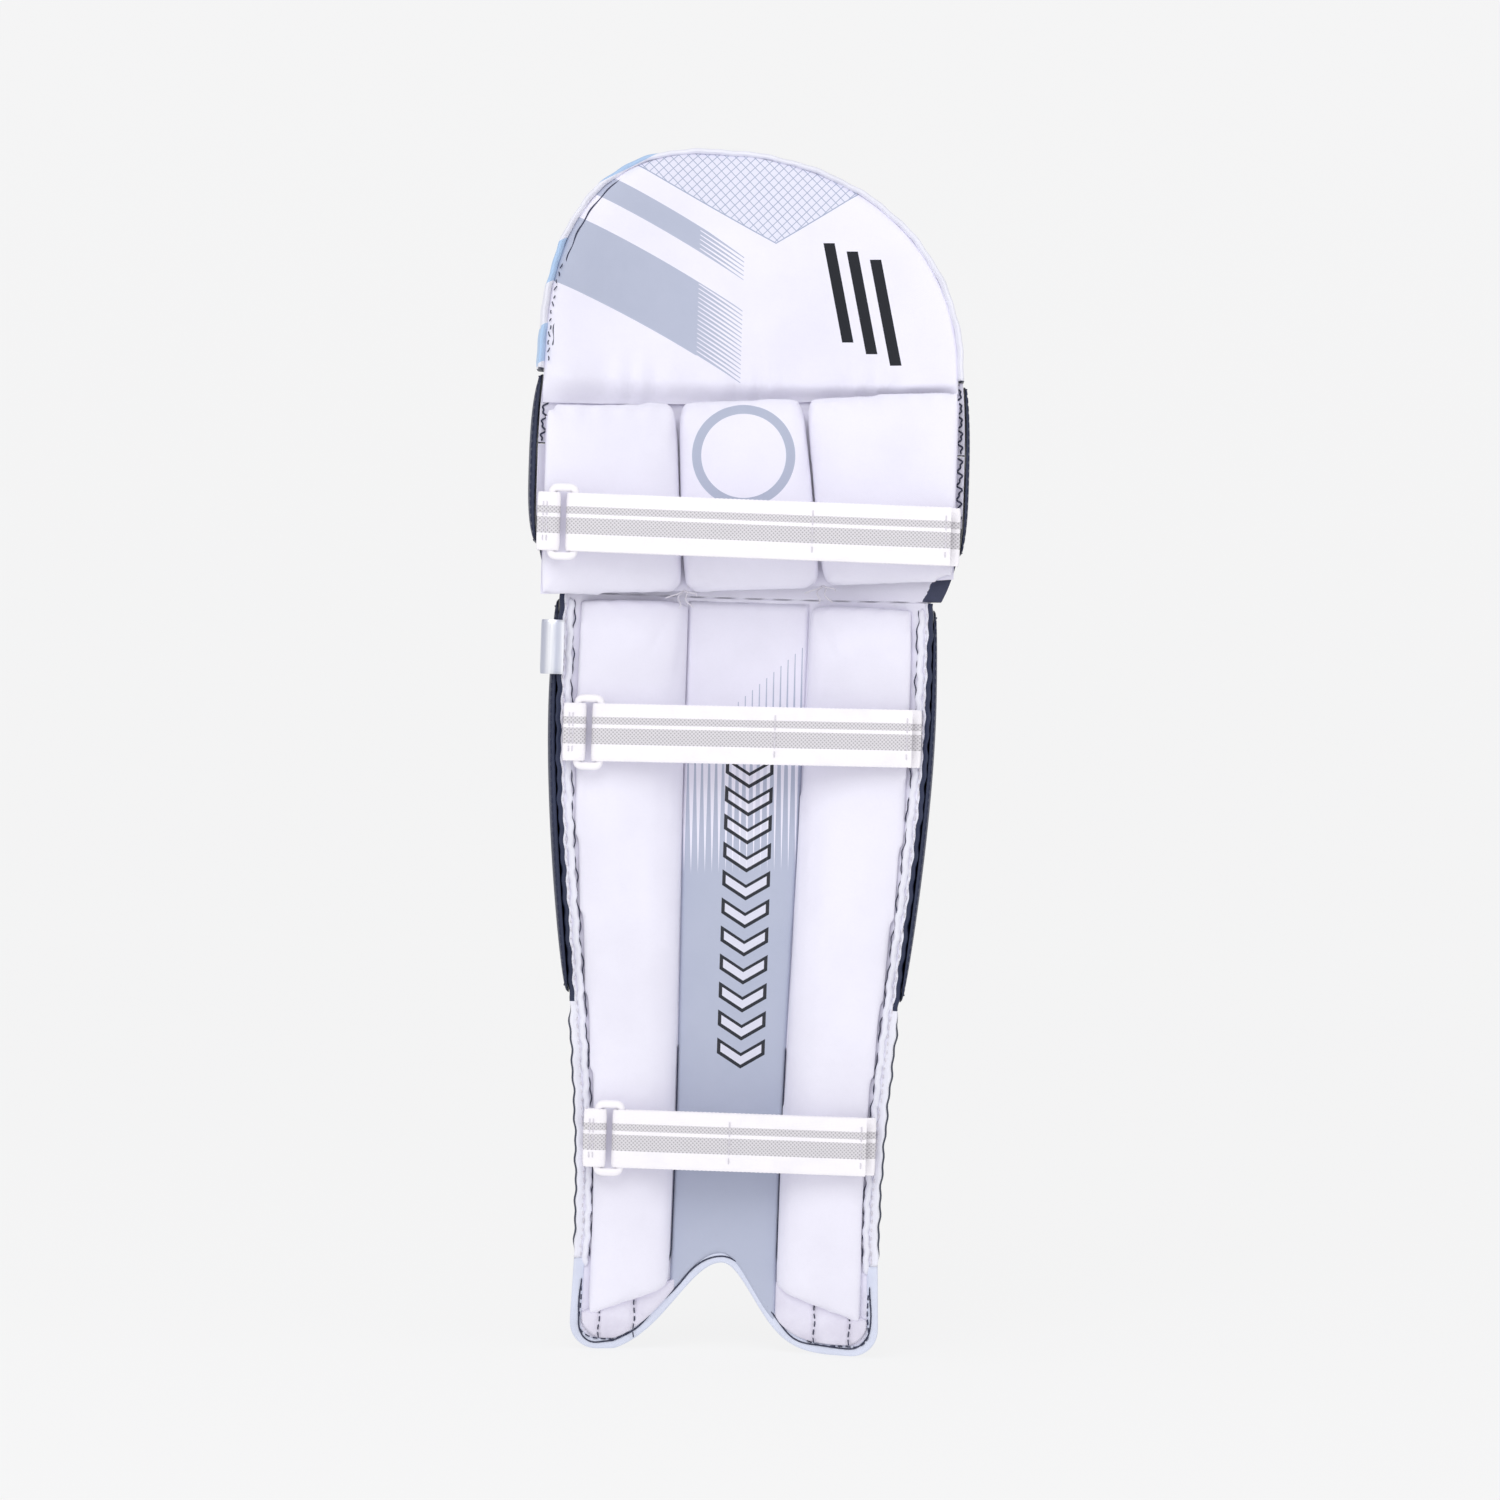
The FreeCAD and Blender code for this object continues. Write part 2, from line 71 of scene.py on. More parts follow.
# ---- Shape of the pad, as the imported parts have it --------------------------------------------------
WRAP = 0.200
ANKLE_HALF, CALF_HALF, KNEE_HALF = 0.0910, 0.1125, 0.1280
ANKLE_Z, CALF_Z = 0.075, 0.400
TOE_HALF, TOE_CORNER = 0.093, 0.015
ARCH_HEIGHT, ARCH_MID = 0.0526, -0.0024
RIM = 0.0035
BOARD = 0.011
CHANNEL = 0.0345
BOLSTER_RIM, BOLSTER_FOOT = 0.009, 0.0815
SHIN_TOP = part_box("shin_lining")[1].z
KNEE_BASE, KNEE_TOP = 0.456, 0.588
TOP_BASE = KNEE_TOP + 0.0005
ROLL_PITCH = 0.044
TOE_STITCH_X = (0.0545, 0.0755)
TAPE_JOIN_Z = 0.0555
TOP_LINING_LOW = 0.5745
TOP_SEAM_X = (-0.066, -0.022, 0.022, 0.066)
BUCKLE_BAR, STRAP_TURN = 0.00225, 0.0033
WEB_HALF, WEB_CLEARANCE, WEB_THICK = 0.0175, 0.0001, 0.00072
CROWN_X, TOP_Z = -0.025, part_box("top_binding")[1].z
TOP_OUTER, TOP_INNER = 0.129, 0.126


def srgb(red, green, blue):
    """Linear colour of a 0-255 display colour: the standard display curve, undone."""
    share = np.array([red, green, blue]) / 255.0
    return tuple(np.where(share < 0.04045, share / 12.92, ((share + 0.055) / 1.055) ** 2.4))


class LegPadSizes(bpy.types.PropertyGroup):
    """Sizes of the sewing, in metres."""

    swell: bpy.props.FloatProperty(
        name="Swell", description="How far the stuffing may push a cushion out", default=0.0025, unit="LENGTH"
    )
    voxel: bpy.props.FloatProperty(
        name="Cloth cell", description="Cell size of the cushions before they are blown up",
        default=0.0045, unit="LENGTH",
    )
    stitch: bpy.props.FloatProperty(
        name="Stitch", description="Length of one stitch", default=0.0038, unit="LENGTH"
    )
    stitch_gap: bpy.props.FloatProperty(
        name="Stitch gap", description="Gap between two stitches", default=0.0011, unit="LENGTH"
    )
    thread: bpy.props.FloatProperty(
        name="Thread", description="Radius of the sewing thread", default=0.00042, unit="LENGTH"
    )
    piping: bpy.props.FloatProperty(
        name="Piping", description="Radius of the corded piping", default=0.0021, unit="LENGTH"
    )


class LegPadColours(bpy.types.PropertyGroup):
    """Colours of the cloths and trims."""

    cloth: bpy.props.FloatVectorProperty(
        name="Lining cloth", description="White lining cloth", default=srgb(241, 239, 252), subtype="COLOR"
    )
    shade: bpy.props.FloatVectorProperty(
        name="Lining shade", description="Where the lining is handled", default=srgb(228, 226, 239),
        subtype="COLOR",
    )
    print_grey: bpy.props.FloatVectorProperty(
        name="Print", description="Grey of the printed bands", default=srgb(175, 182, 203), subtype="COLOR"
    )
    ink: bpy.props.FloatVectorProperty(
        name="Dark print", description="Dark printed marks", default=srgb(33, 35, 42), subtype="COLOR"
    )
    navy: bpy.props.FloatVectorProperty(
        name="Front", description="Coated front cloth", default=srgb(41, 49, 77), subtype="COLOR"
    )
    pale_blue: bpy.props.FloatVectorProperty(
        name="Binding", description="Pale blue binding", default=srgb(176, 203, 236), subtype="COLOR"
    )
    webbing: bpy.props.FloatVectorProperty(
        name="Webbing", description="White of the straps", default=srgb(253, 250, 255), subtype="COLOR"
    )
    webbing_grey: bpy.props.FloatVectorProperty(
        name="Webbing grey", description="Grey stripes of the straps", default=srgb(210, 207, 212),
        subtype="COLOR",
    )
    plastic: bpy.props.FloatVectorProperty(
        name="Buckles", description="White moulded buckles", default=srgb(250, 247, 253), subtype="COLOR"
    )


def sizes():
    return bpy.context.scene.leg_pad_sizes


def colours():
    return bpy.context.scene.leg_pad_colours


# ---- Outlines --------------------------------------------------------------------------------------
def shin_half(z):
    """Half width of the shin: a smooth step from ankle to calf, and a small flare below the ankle."""
    rise = np.clip((z - ANKLE_Z) / (CALF_Z - ANKLE_Z), 0.0, 1.0)
    flare = np.clip((ANKLE_Z - z) / (ANKLE_Z - TOE_CORNER - RIM), 0.0, 1.0)
    step = rise * rise * (3.0 - 2.0 * rise)
    return ANKLE_HALF + (CALF_HALF - ANKLE_HALF) * step + (TOE_HALF - ANKLE_HALF) * flare


def knee_half(z):
    """Half width of the knee: a cubic that pinches in at the shin and a little at the top section."""
    middle = 0.5 * (KNEE_BASE + KNEE_TOP)
    share = (z - middle) / (KNEE_TOP - middle)
    return KNEE_HALF - np.where(share < 0, 0.011, 0.0025) * np.abs(share) ** 3


def arch(x):
    """Height of the instep arch: a bell curve, wider on the outer side, brought to zero at its feet."""
    outer = x < ARCH_MID
    spread = np.where(outer, 0.040, 0.029)
    foot = np.where(outer, -0.066, 0.064)
    floor = np.exp(-(((foot - ARCH_MID) / spread) ** 2))
    bell = (np.exp(-(((x - ARCH_MID) / spread) ** 2)) - floor) / (1.0 - floor)
    return np.maximum(ARCH_HEIGHT * bell, 0.0)


def shin_low(x, inset):
    """Lowest height of the shin's outline at x: the arch or the sole, and a quarter round at each toe."""
    past = np.clip(np.abs(x) - (TOE_HALF - inset - TOE_CORNER), 0.0, TOE_CORNER)
    return inset + np.maximum(arch(x), TOE_CORNER - np.sqrt(TOE_CORNER**2 - past * past))


def top_side(z, side, inset=RIM):
    """X of the top section's edge at a height: one quarter of a superellipse about the crown."""
    up = np.clip((z - TOP_BASE) / (TOP_Z - inset - TOP_BASE), 0.0, 1.0)
    power = 2.5 if side < 0 else 2.1
    reach = side * ((TOP_OUTER if side < 0 else TOP_INNER) - inset) - CROWN_X
    return CROWN_X + reach * (1.0 - up**power) ** (1.0 / power)


def leg_y(x, lift=0.0):
    """Y of a surface that stands out by lift: a circle about the leg's middle line."""
    return np.sqrt((WRAP + lift) ** 2 - np.asarray(x) ** 2) - WRAP


def stack(x, y, z):
    """Points from three arrays that broadcast to one shape."""
    return np.stack(np.broadcast_arrays(x, y, z), -1)


def lay(x, z, lift=0.0):
    """Points that stand out from the leg's face by lift, at X and Z."""
    return stack(x, leg_y(x, lift), z)


def back_arc(x_near, y_near, x_far, y_far):
    """The circle, on the middle plane, that passes through two points of a cushion's back."""
    centre = (x_far**2 - x_near**2 + y_far**2 - y_near**2) / (2.0 * (y_far - y_near))
    radius = math.hypot(x_near, y_near - centre)
    return lambda x: centre + np.sqrt(radius**2 - np.asarray(x) ** 2)


def swell(share, power):
    """Rise of stuffed cloth between two seams: a superellipse, 0 at both seams and 1 between them."""
    return np.clip(1.0 - np.abs(2.0 * share - 1.0) ** power, 0.0, 1.0) ** (1.0 / power)


def ease(x, low, high):
    """Smooth step from 0 at low to 1 at high."""
    share = np.clip((x - low) / (high - low), 0.0, 1.0)
    return share * share * (3.0 - 2.0 * share)


def spaced(count, crowd=0.0):
    """Shares from 0 to 1, crowded towards both ends as a cosine crowds them."""
    even = np.linspace(0.0, 1.0, count)
    return (1.0 - crowd) * even + crowd * (0.5 - 0.5 * np.cos(math.pi * even))


# ---- Meshes ----------------------------------------------------------------------------------------
def volume_of(points, faces):
    """Signed volume of a closed skin: the sum over its corners of a tetrahedron to the origin."""
    a, b, c = points[faces[:, 0]], points[faces[:, 1]], points[faces[:, 2]]
    total = np.einsum("ij,ij->i", a, np.cross(b, c)).sum()
    d = points[faces[:, 3]]
    return total + np.einsum("ij,ij->i", a, np.cross(c, d)).sum()


def weld(draft):
    """Joins points that meet, and takes out what has no area."""
    bmesh.ops.remove_doubles(draft, verts=draft.verts, dist=2e-6)
    bmesh.ops.dissolve_degenerate(draft, edges=draft.edges, dist=1e-7)


def face_out(draft):
    """Turns the faces of closed skins outwards."""
    bmesh.ops.recalc_face_normals(draft, faces=draft.faces)


def new_object(name, mesh, materials, mend=None, sharp=None):
    """Links a mesh as a smooth object with its materials, once mend has seen to its faces."""
    for material in materials:
        mesh.materials.append(material)
    if mend is not None:
        draft = bmesh.new()
        draft.from_mesh(mesh)
        mend(draft)
        draft.to_mesh(mesh)
        draft.free()
    mesh.polygons.foreach_set("use_smooth", np.ones(len(mesh.polygons), bool))
    if sharp is not None:
        mesh.set_sharp_from_angle(angle=math.radians(sharp))
    obj = bpy.data.objects.new(name, mesh)
    bpy.context.scene.collection.objects.link(obj)
    return obj


def new_piece(name, points, faces, materials, parts, weave=None, sharp=None, mend=None):
    """A piece from whole arrays. Faces are rows of four corners, turned round if they face in; where
    two corners of a row are the same it is a triangle. parts gives the material of each face."""
    if volume_of(points, faces) < 0:
        faces = faces[:, ::-1]
    mesh = bpy.data.meshes.new(name)
    mesh.from_pydata(points.tolist(), [], [list(dict.fromkeys(row)) for row in faces.tolist()])
    mesh.polygons.foreach_set("material_index", np.asarray(parts, np.int32))
    if weave is not None:
        layer = mesh.attributes.new("weave", "FLOAT_VECTOR", "POINT")
        layer.data.foreach_set("vector", np.asarray(weave, np.float32).ravel())
    return new_object(name, mesh, materials, mend, sharp)


def cells_of(index):
    """The four corners of every cell of a grid of point numbers."""
    return np.stack([index[:-1, :-1], index[:-1, 1:], index[1:, 1:], index[1:, :-1]], -1).reshape(-1, 4)


def shell(name, back, front, materials, front_part=0, rim_part=0, sharp=None):
    """A closed pad between two grids of points, back and front, joined round their border."""
    rows, columns, _ = back.shape
    index = np.arange(rows * columns).reshape(rows, columns)
    quads = cells_of(index)
    border = np.concatenate([index[0, :-1], index[:-1, -1], index[-1, :0:-1], index[:0:-1, 0]])
    after = np.roll(border, -1)
    shift = rows * columns
    rim = np.stack([after, border, border + shift, after + shift], -1)
    faces = np.concatenate([quads, quads[:, ::-1] + shift, rim])
    parts = np.repeat([0, front_part, rim_part], [len(quads), len(quads), len(rim)])
    points = np.concatenate([back.reshape(-1, 3), front.reshape(-1, 3)])
    return new_piece(name, points, faces, materials, parts, sharp=sharp, mend=weld)


def loft(name, rings, materials, closed=False, weave=None, sharp=None, part=None):
    """A skin through rings of points, either closed on itself or with each end closed by a fan. part
    gives the material of each place round the ring."""
    count, around, _ = rings.shape
    index = np.arange(count * around).reshape(count, around)
    if closed:
        index = np.concatenate([index, index[:1]])
    side = np.roll(index, -1, axis=1)
    faces = np.stack([index[:-1], side[:-1], side[1:], index[1:]], -1).reshape(-1, 4)
    points = rings.reshape(-1, 3)
    if not closed:
        hubs = np.array([rings[0].mean(0), rings[-1].mean(0)])
        first, last = count * around, count * around + 1
        low = np.stack([side[0], index[0], np.full(around, first), np.full(around, first)], -1)
        high = np.stack([index[-1], side[-1], np.full(around, last), np.full(around, last)], -1)
        points = np.concatenate([points, hubs])
        faces = np.concatenate([faces, low, high])
        if weave is not None:
            ends = np.array([weave.reshape(count, around, 3)[k].mean(0) for k in (0, -1)])
            weave = np.concatenate([weave.reshape(-1, 3), ends])
    parts = np.zeros(len(faces), np.int32)
    if part is not None:
        sides = (len(index) - 1) * around
        parts[:sides] = np.broadcast_to(part, (len(index) - 1, around)).ravel()
        parts[sides:] = len(materials) - 1
    return new_piece(name, points, faces, materials, parts, weave, sharp)


def rounded(points):
    """A closed outline with its corners cut twice, each time a quarter off every side's ends."""
    for _ in range(2):
        after = np.roll(points, -1, axis=0)
        points = np.stack([0.75 * points + 0.25 * after, 0.25 * points + 0.75 * after], 1).reshape(-1, 2)
    return points


def along(path, step=None, count=None):
    """The path's points spaced evenly by arc length."""
    gaps = np.linalg.norm(np.diff(path, axis=0), axis=1)
    reach = np.concatenate([[0.0], np.cumsum(gaps)])
    count = count or max(int(round(reach[-1] / step)) + 1, 2)
    at = np.linspace(0.0, reach[-1], count)
    return np.stack([np.interp(at, reach, path[:, k]) for k in range(path.shape[1])], -1), at


def unit(rows):
    """Rows scaled to a length of 1."""
    return rows / np.linalg.norm(rows, axis=1, keepdims=True)


def right_of(path):
    """Unit normals to the right of a path in a plane."""
    step = np.gradient(path, axis=0)
    return unit(np.stack([step[:, 1], -step[:, 0]], -1))


def frames_of(path):
    """Two unit directions across a path, the first as square to Y as it can be."""
    tangent = np.gradient(path, axis=0)
    tangent /= np.linalg.norm(tangent, axis=1, keepdims=True) + 1e-12
    side = np.cross(tangent, np.array([0.0, 1.0, 0.0]))
    flat = np.linalg.norm(side, axis=1, keepdims=True) < 0.05
    side = unit(np.where(flat, np.array([[1.0, 0.0, 0.0]]), side))
    return side, np.cross(side, tangent)


def tube(name, path, radius, material, around=6):
    """Thread or piping: a circle carried along a path, its ends drawn in as half of a sine."""
    side, up = frames_of(path)
    turn = np.linspace(0, 2 * math.pi, around, endpoint=False)
    share = np.linspace(0, 1, len(path))
    size = np.clip(np.sin(math.pi * np.clip(share * len(path) / 4, 0, 0.5)), 0.15, 1)
    size = radius * (size * size[::-1])
    ring = np.cos(turn)[None, :, None] * side[:, None] + np.sin(turn)[None, :, None] * up[:, None]
    return loft(name, path[:, None] + size[:, None, None] * ring, [material])


def stitches(name, paths, material, slack=0.0):
    """Running stitches: each is a small capsule on its share of the path, proud in its middle."""
    size = sizes()
    pitch = size.stitch + size.stitch_gap
    points, faces = [], []
    shares = np.array([0.0, 0.12, 0.5, 0.88, 1.0])
    widths = np.array([0.3, 1.0, 1.0, 1.0, 0.3])
    proud = np.array([-0.6, 0.3, 0.7, 0.3, -0.6])
    turn = np.linspace(0, 2 * math.pi, 5, endpoint=False)
    start = 0
    for path in paths:
        fine, reach = along(path, step=0.0005)
        count = max(int(reach[-1] / pitch), 1)
        begins = (np.arange(count) + 0.5 * size.stitch_gap / pitch) * reach[-1] / count
        length = size.stitch * (1.0 - slack * rng.random(count))
        at = begins[:, None] + length[:, None] * shares
        middle = np.stack([np.interp(at, reach, fine[:, k]) for k in range(3)], -1)
        side, up = frames_of(fine)
        side = np.stack([np.interp(at, reach, side[:, k]) for k in range(3)], -1)
        up = np.stack([np.interp(at, reach, up[:, k]) for k in range(3)], -1)
        outward = np.where(up[..., 1:2] > 0, -1.0, 1.0) * up
        middle = middle + outward * (proud * size.thread)[None, :, None]
        ring = np.cos(turn)[:, None] * side[:, :, None] + np.sin(turn)[:, None] * up[:, :, None]
        rings = middle[:, :, None] + (widths * size.thread)[None, :, None, None] * ring
        index = start + np.arange(count * 25).reshape(count, 5, 5)
        turned = np.roll(index, -1, axis=2)
        walls = np.stack([index[:, :-1], turned[:, :-1], turned[:, 1:], index[:, 1:]], -1).reshape(-1, 4)
        ends = np.concatenate([index[:, 0, ::-1], index[:, -1]])
        points.append(rings.reshape(-1, 3))
        faces += walls.tolist() + ends.tolist()
        start += count * 25
    mesh = bpy.data.meshes.new(name)
    mesh.from_pydata(np.concatenate(points).tolist(), [], faces)
    return new_object(name, mesh, [material], face_out)


def sew(name, rows, thread, body, slack=0.0):
    """Stitches along some lines, in a thread's finish, that move with a body."""
    place(stitches(name, rows, finishes[thread], slack), body)


def lay_thread(name, path, radius, body):
    """One loose navy thread that moves with a body."""
    place(tube(name, path, radius, finishes["navy_thread"]), body)


def read_points(mesh):
    """The mesh's points as rows."""
    flat = np.zeros(len(mesh.vertices) * 3, np.float32)
    mesh.vertices.foreach_get("co", flat)
    return flat.reshape(-1, 3).astype(float)


def write_points(mesh, points):
    """Puts rows of points back into the mesh."""
    mesh.vertices.foreach_set("co", np.asarray(points, np.float32).ravel())
    mesh.update()


def apply_modifiers(obj):
    """Makes the modifiers' result the mesh, and removes them."""
    graph = bpy.context.evaluated_depsgraph_get()
    mesh = bpy.data.meshes.new_from_object(obj.evaluated_get(graph))
    obj.modifiers.clear()
    obj.data = mesh


def inflate(obj, held):
    """Blows a sewn pad up as cloth: remesh, pin the held points, run the cloth, and cap how far a
    point moved by scaling its move down to the swell."""
    frames, pressure = 20, 5.0
    remesh = obj.modifiers.new("Cells", "REMESH")
    remesh.mode = "VOXEL"
    remesh.voxel_size = sizes().voxel
    apply_modifiers(obj)
    start = read_points(obj.data)
    pinned = obj.vertex_groups.new(name="held")
    pinned.add(np.flatnonzero(held(start)).tolist(), 1.0, "REPLACE")
    cloth = obj.modifiers.new("Stuffing", "CLOTH")
    cloth.settings.quality = 4
    cloth.settings.mass = 0.3
    cloth.settings.use_pressure = True
    cloth.settings.uniform_pressure_force = pressure
    cloth.settings.vertex_group_mass = "held"
    cloth.settings.tension_stiffness = 25
    cloth.settings.compression_stiffness = 12
    cloth.settings.bending_stiffness = 0.4
    cloth.settings.effector_weights.gravity = 0.0
    cloth.point_cache.frame_start = 1
    cloth.point_cache.frame_end = frames
    for number in range(1, frames + 1):
        bpy.context.scene.frame_set(number)
    graph = bpy.context.evaluated_depsgraph_get()
    shape = obj.evaluated_get(graph).to_mesh()
    moved = read_points(shape) - start
    obj.evaluated_get(graph).to_mesh_clear()
    obj.modifiers.clear()
    obj.vertex_groups.clear()
    far = np.linalg.norm(moved, axis=1, keepdims=True)
    write_points(obj.data, start + moved * np.minimum(1.0, sizes().swell / np.maximum(far, 1e-9)))
    bpy.context.scene.frame_set(1)
    smooth = obj.modifiers.new("Smooth", "SUBSURF")
    smooth.levels = smooth.render_levels = 1
    apply_modifiers(obj)
    obj.data.polygons.foreach_set("use_smooth", np.ones(len(obj.data.polygons), bool))


def wear(obj, material):
    """Gives a piece one material."""
    obj.data.materials.clear()
    obj.data.materials.append(material)


def place(obj, body, nodes=()):
    """Says which body a finished piece moves with, and hides the parts it stands for."""
    if isinstance(body, str):
        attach(obj, body)
    if nodes:
        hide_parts(*nodes)


# ---- Shader maths ----------------------------------------------------------------------------------
class Wire:
    """One socket of a finish, so that shader maths is written as arithmetic."""

    def __init__(self, finish, socket):
        self.finish = finish
        self.socket = socket

    def math(self, operation, *others):
        inputs = dict(enumerate((self,) + others))
        return self.finish.node("ShaderNodeMath", {"operation": operation}, inputs)

    def __add__(self, other):
        return self.math("ADD", other)

    def __sub__(self, other):
        return self.math("SUBTRACT", other)

    def __mul__(self, other):
        return self.math("MULTIPLY", other)

    def __truediv__(self, other):
        return self.math("DIVIDE", other)

    def __rsub__(self, other):
        return self * -1.0 + other

    def __rtruediv__(self, other):
        return self.math("POWER", -1.0) * other

    def __pow__(self, other):
        return self.math("POWER", other)

    def __gt__(self, other):
        return self.math("GREATER_THAN", other)

    def __lt__(self, other):
        return self.math("LESS_THAN", other)

    __radd__ = __add__
    __rmul__ = __mul__

    def sin(self):
        return self.math("SINE")

    def size(self):
        return self.math("ABSOLUTE")

    def part(self):
        """What is left after the whole number."""
        return self.math("FRACT")

    def most(self, other):
        return self.math("MAXIMUM", other)

    def least(self, other):
        return self.math("MINIMUM", other)

    def between(self, low, high):
        """1 where the value is between low and high."""
        return (self > low) * (self < high)

    def step(self, low, high):
        """Smooth step from 0 at low to 1 at high."""
        inputs = {"Value": self, "From Min": low, "From Max": high}
        return self.finish.node("ShaderNodeMapRange", {"interpolation_type": "SMOOTHSTEP"}, inputs)


class Finish:
    """A material in the making: its nodes, and its shader."""

    def __init__(self, name, **constants):
        self.material = bpy.data.materials.new(name)
        self.material.use_nodes = True
        self.tree = self.material.node_tree
        self.tree.nodes.clear()
        output = self.tree.nodes.new("ShaderNodeOutputMaterial")
        self.shader = self.tree.nodes.new("ShaderNodeBsdfPrincipled")
        self.tree.links.new(self.shader.outputs[0], output.inputs[0])
        for socket, value in constants.items():
            self.shader.inputs[socket.replace("_", " ").title().replace("Ior", "IOR")].default_value = value
        self.place = self.node("ShaderNodeTexCoord", output="Object")
        split = self.node("ShaderNodeSeparateXYZ", inputs={0: self.place}).socket.node
        self.x, self.y, self.z = (Wire(self, split.outputs[k]) for k in range(3))

    def node(self, kind, settings=None, inputs=None, output=0):
        """Adds one node: its settings first, then the values or wires of its sockets."""
        made = self.tree.nodes.new(kind)
        for key, value in (settings or {}).items():
            setattr(made, key, value)
        for key, value in (inputs or {}).items():
            if isinstance(value, Wire):
                self.tree.links.new(value.socket, made.inputs[key])
            else:
                made.inputs[key].default_value = value
        return Wire(self, made.outputs[output])

    def noise(self, scale, detail=3.0, vector=None, rough=0.55):
        """Cloudy noise in metres, about 0.5 on average."""
        inputs = {"Vector": vector or self.place, "Scale": scale, "Detail": detail, "Roughness": rough}
        return self.node("ShaderNodeTexNoise", {}, inputs, "Fac")

    def mix(self, share, one, other):
        """One colour where share is 0 and the other where it is 1."""
        made = self.tree.nodes.new("ShaderNodeMix")
        made.data_type = "RGBA"
        for key, value in ((0, share), (6, one), (7, other)):
            if isinstance(value, Wire):
                self.tree.links.new(value.socket, made.inputs[key])
            elif key == 0:
                made.inputs[key].default_value = value
            else:
                made.inputs[key].default_value = (*value, 1.0)
        return Wire(self, made.outputs[2])

    def finish(self, colour, roughness, height=None, depth=0.0001, strength=0.6):
        """Joins colour, roughness and a bump of that height, times depth in metres, to the shader."""
        for socket, value in (("Base Color", colour), ("Roughness", roughness)):
            if isinstance(value, Wire):
                self.tree.links.new(value.socket, self.shader.inputs[socket])
            else:
                self.shader.inputs[socket].default_value = value
        if height is not None:
            inputs = {"Height": height, "Distance": depth, "Strength": strength}
            bump = self.node("ShaderNodeBump", {}, inputs, "Normal")
            self.tree.links.new(bump.socket, self.shader.inputs["Normal"])
        return self.material


def cloth_weave(finish, pitch):
    """Over-and-under weave: the product of one sine along the thread and one across it."""
    turn = 2 * math.pi / pitch
    return ((finish.x + finish.y) * turn).sin() * (finish.z * turn).sin()


def lining_finish(name, ink=None):
    """White brushed cloth, handled and a little uneven, with ink, a function that gives a list of
    (mask, colour) laid over it."""
    tints = colours()
    finish = Finish(name, sheen_weight=0.25, sheen_roughness=0.5, specular_ior_level=0.25)
    cloud = finish.noise(14.0, 4.0).step(0.35, 0.75)
    fleck = finish.noise(900.0, 2.0)
    colour = finish.mix(cloud * 0.55, tints.cloth, tints.shade)
    colour = finish.mix((fleck - 0.45).most(0.0) * 0.22, colour, srgb(214, 212, 228))
    for mask, tint in (ink(finish) if ink else ()):
        colour = finish.mix(mask, colour, tint)
    weave = cloth_weave(finish, 0.0011)
    wrinkle = finish.noise(38.0, 3.0)
    height = weave * 0.12 + fleck * 0.35 + wrinkle * 6.0
    return finish.finish(colour, cloud * 0.08 + 0.78, height, 0.00022, 0.5)


def top_ink(finish):
    """Two slanting bands that break into thin lines, a diamond mesh under the crown, dark strokes."""
    tints = colours()
    x, z = finish.x * 1000.0, finish.z * 1000.0
    past = x + 35.0
    slant = z + past * 0.56 + past * past * 0.0012
    lines = (slant / 2.7).part() < (1.0 - (past / 27.0).most(0.0)) * 0.6 + 0.22
    shown = (x < -35.0).most(lines * (x < -8.0))
    band = slant.between(664.4, 679.6).most(slant.between(601.6, 646.2)) * shown
    under = z - (671.0 + (11.0 - x).most(0.0) * 0.512 + (x - 11.0).most(0.0) * 0.625)
    mesh_zone = under > 0.0
    across = ((x + z) / 5.8).part() < 0.12
    across = across.most(((x - z + 900.0) / 5.8).part() < 0.12)
    wires = mesh_zone * across.most(under < 0.8)
    cloud = finish.noise(40.0, 3.0) * 0.12
    strokes = None
    for index in range(3):
        middle = x + (z - 640.0) * 0.22 - (50.0 + 13.0 * index)
        stroke = middle.between(-3.4, 3.4) * z.between(612.0 - 7 * index, 672.0 - 5 * index)
        strokes = stroke if strokes is None else strokes.most(stroke)
    return [
        (mesh_zone * 0.85, srgb(226, 226, 242)),
        (wires * (0.84 - cloud), srgb(142, 156, 184)),
        (band * (0.97 - cloud), tints.print_grey),
        (strokes, tints.ink),
    ]


def panel_ink(finish):
    """Upright lines that widen downwards into a solid field, and a column of outlined chevrons."""
    tints = colours()
    x, z = finish.x * 1000.0, finish.z * 1000.0
    start = x * 0.9 + 396.0
    share = ((start - z) / (start - 283.0)).most(0.0).least(1.0)
    lines = ((x + 100.0) / 4.2).part() < share**1.25 * 0.94 + 0.13
    field = (z < start) * lines.most(z < 285.0)
    column = (x - 5.0).size()
    run = z - column * 0.62
    phase = (run / 17.0).part()
    zone = run.between(170.0, 357.0) * (column < 14.5)
    edges = phase.between(0.06, 0.2).most(phase.between(0.5, 0.62))
    edges = edges.most(phase.between(0.06, 0.62) * (column > 12.4))
    cloud = finish.noise(30.0, 3.0) * 0.12
    return [
        (field * (0.97 - cloud), tints.print_grey),
        (zone * phase.between(0.2, 0.5) * 0.6, tints.cloth),
        (zone * edges * 0.97, tints.ink),
    ]


def cradle_ink(finish):
    """A plain ring on the middle cushion."""
    x, z = finish.x * 1000.0, finish.z * 1000.0
    far = ((x + 4.5) * (x + 4.5) + (z - 541.0) * (z - 541.0)) ** 0.5
    return [(far.between(25.5, 31.0) * 0.95, colours().print_grey)]


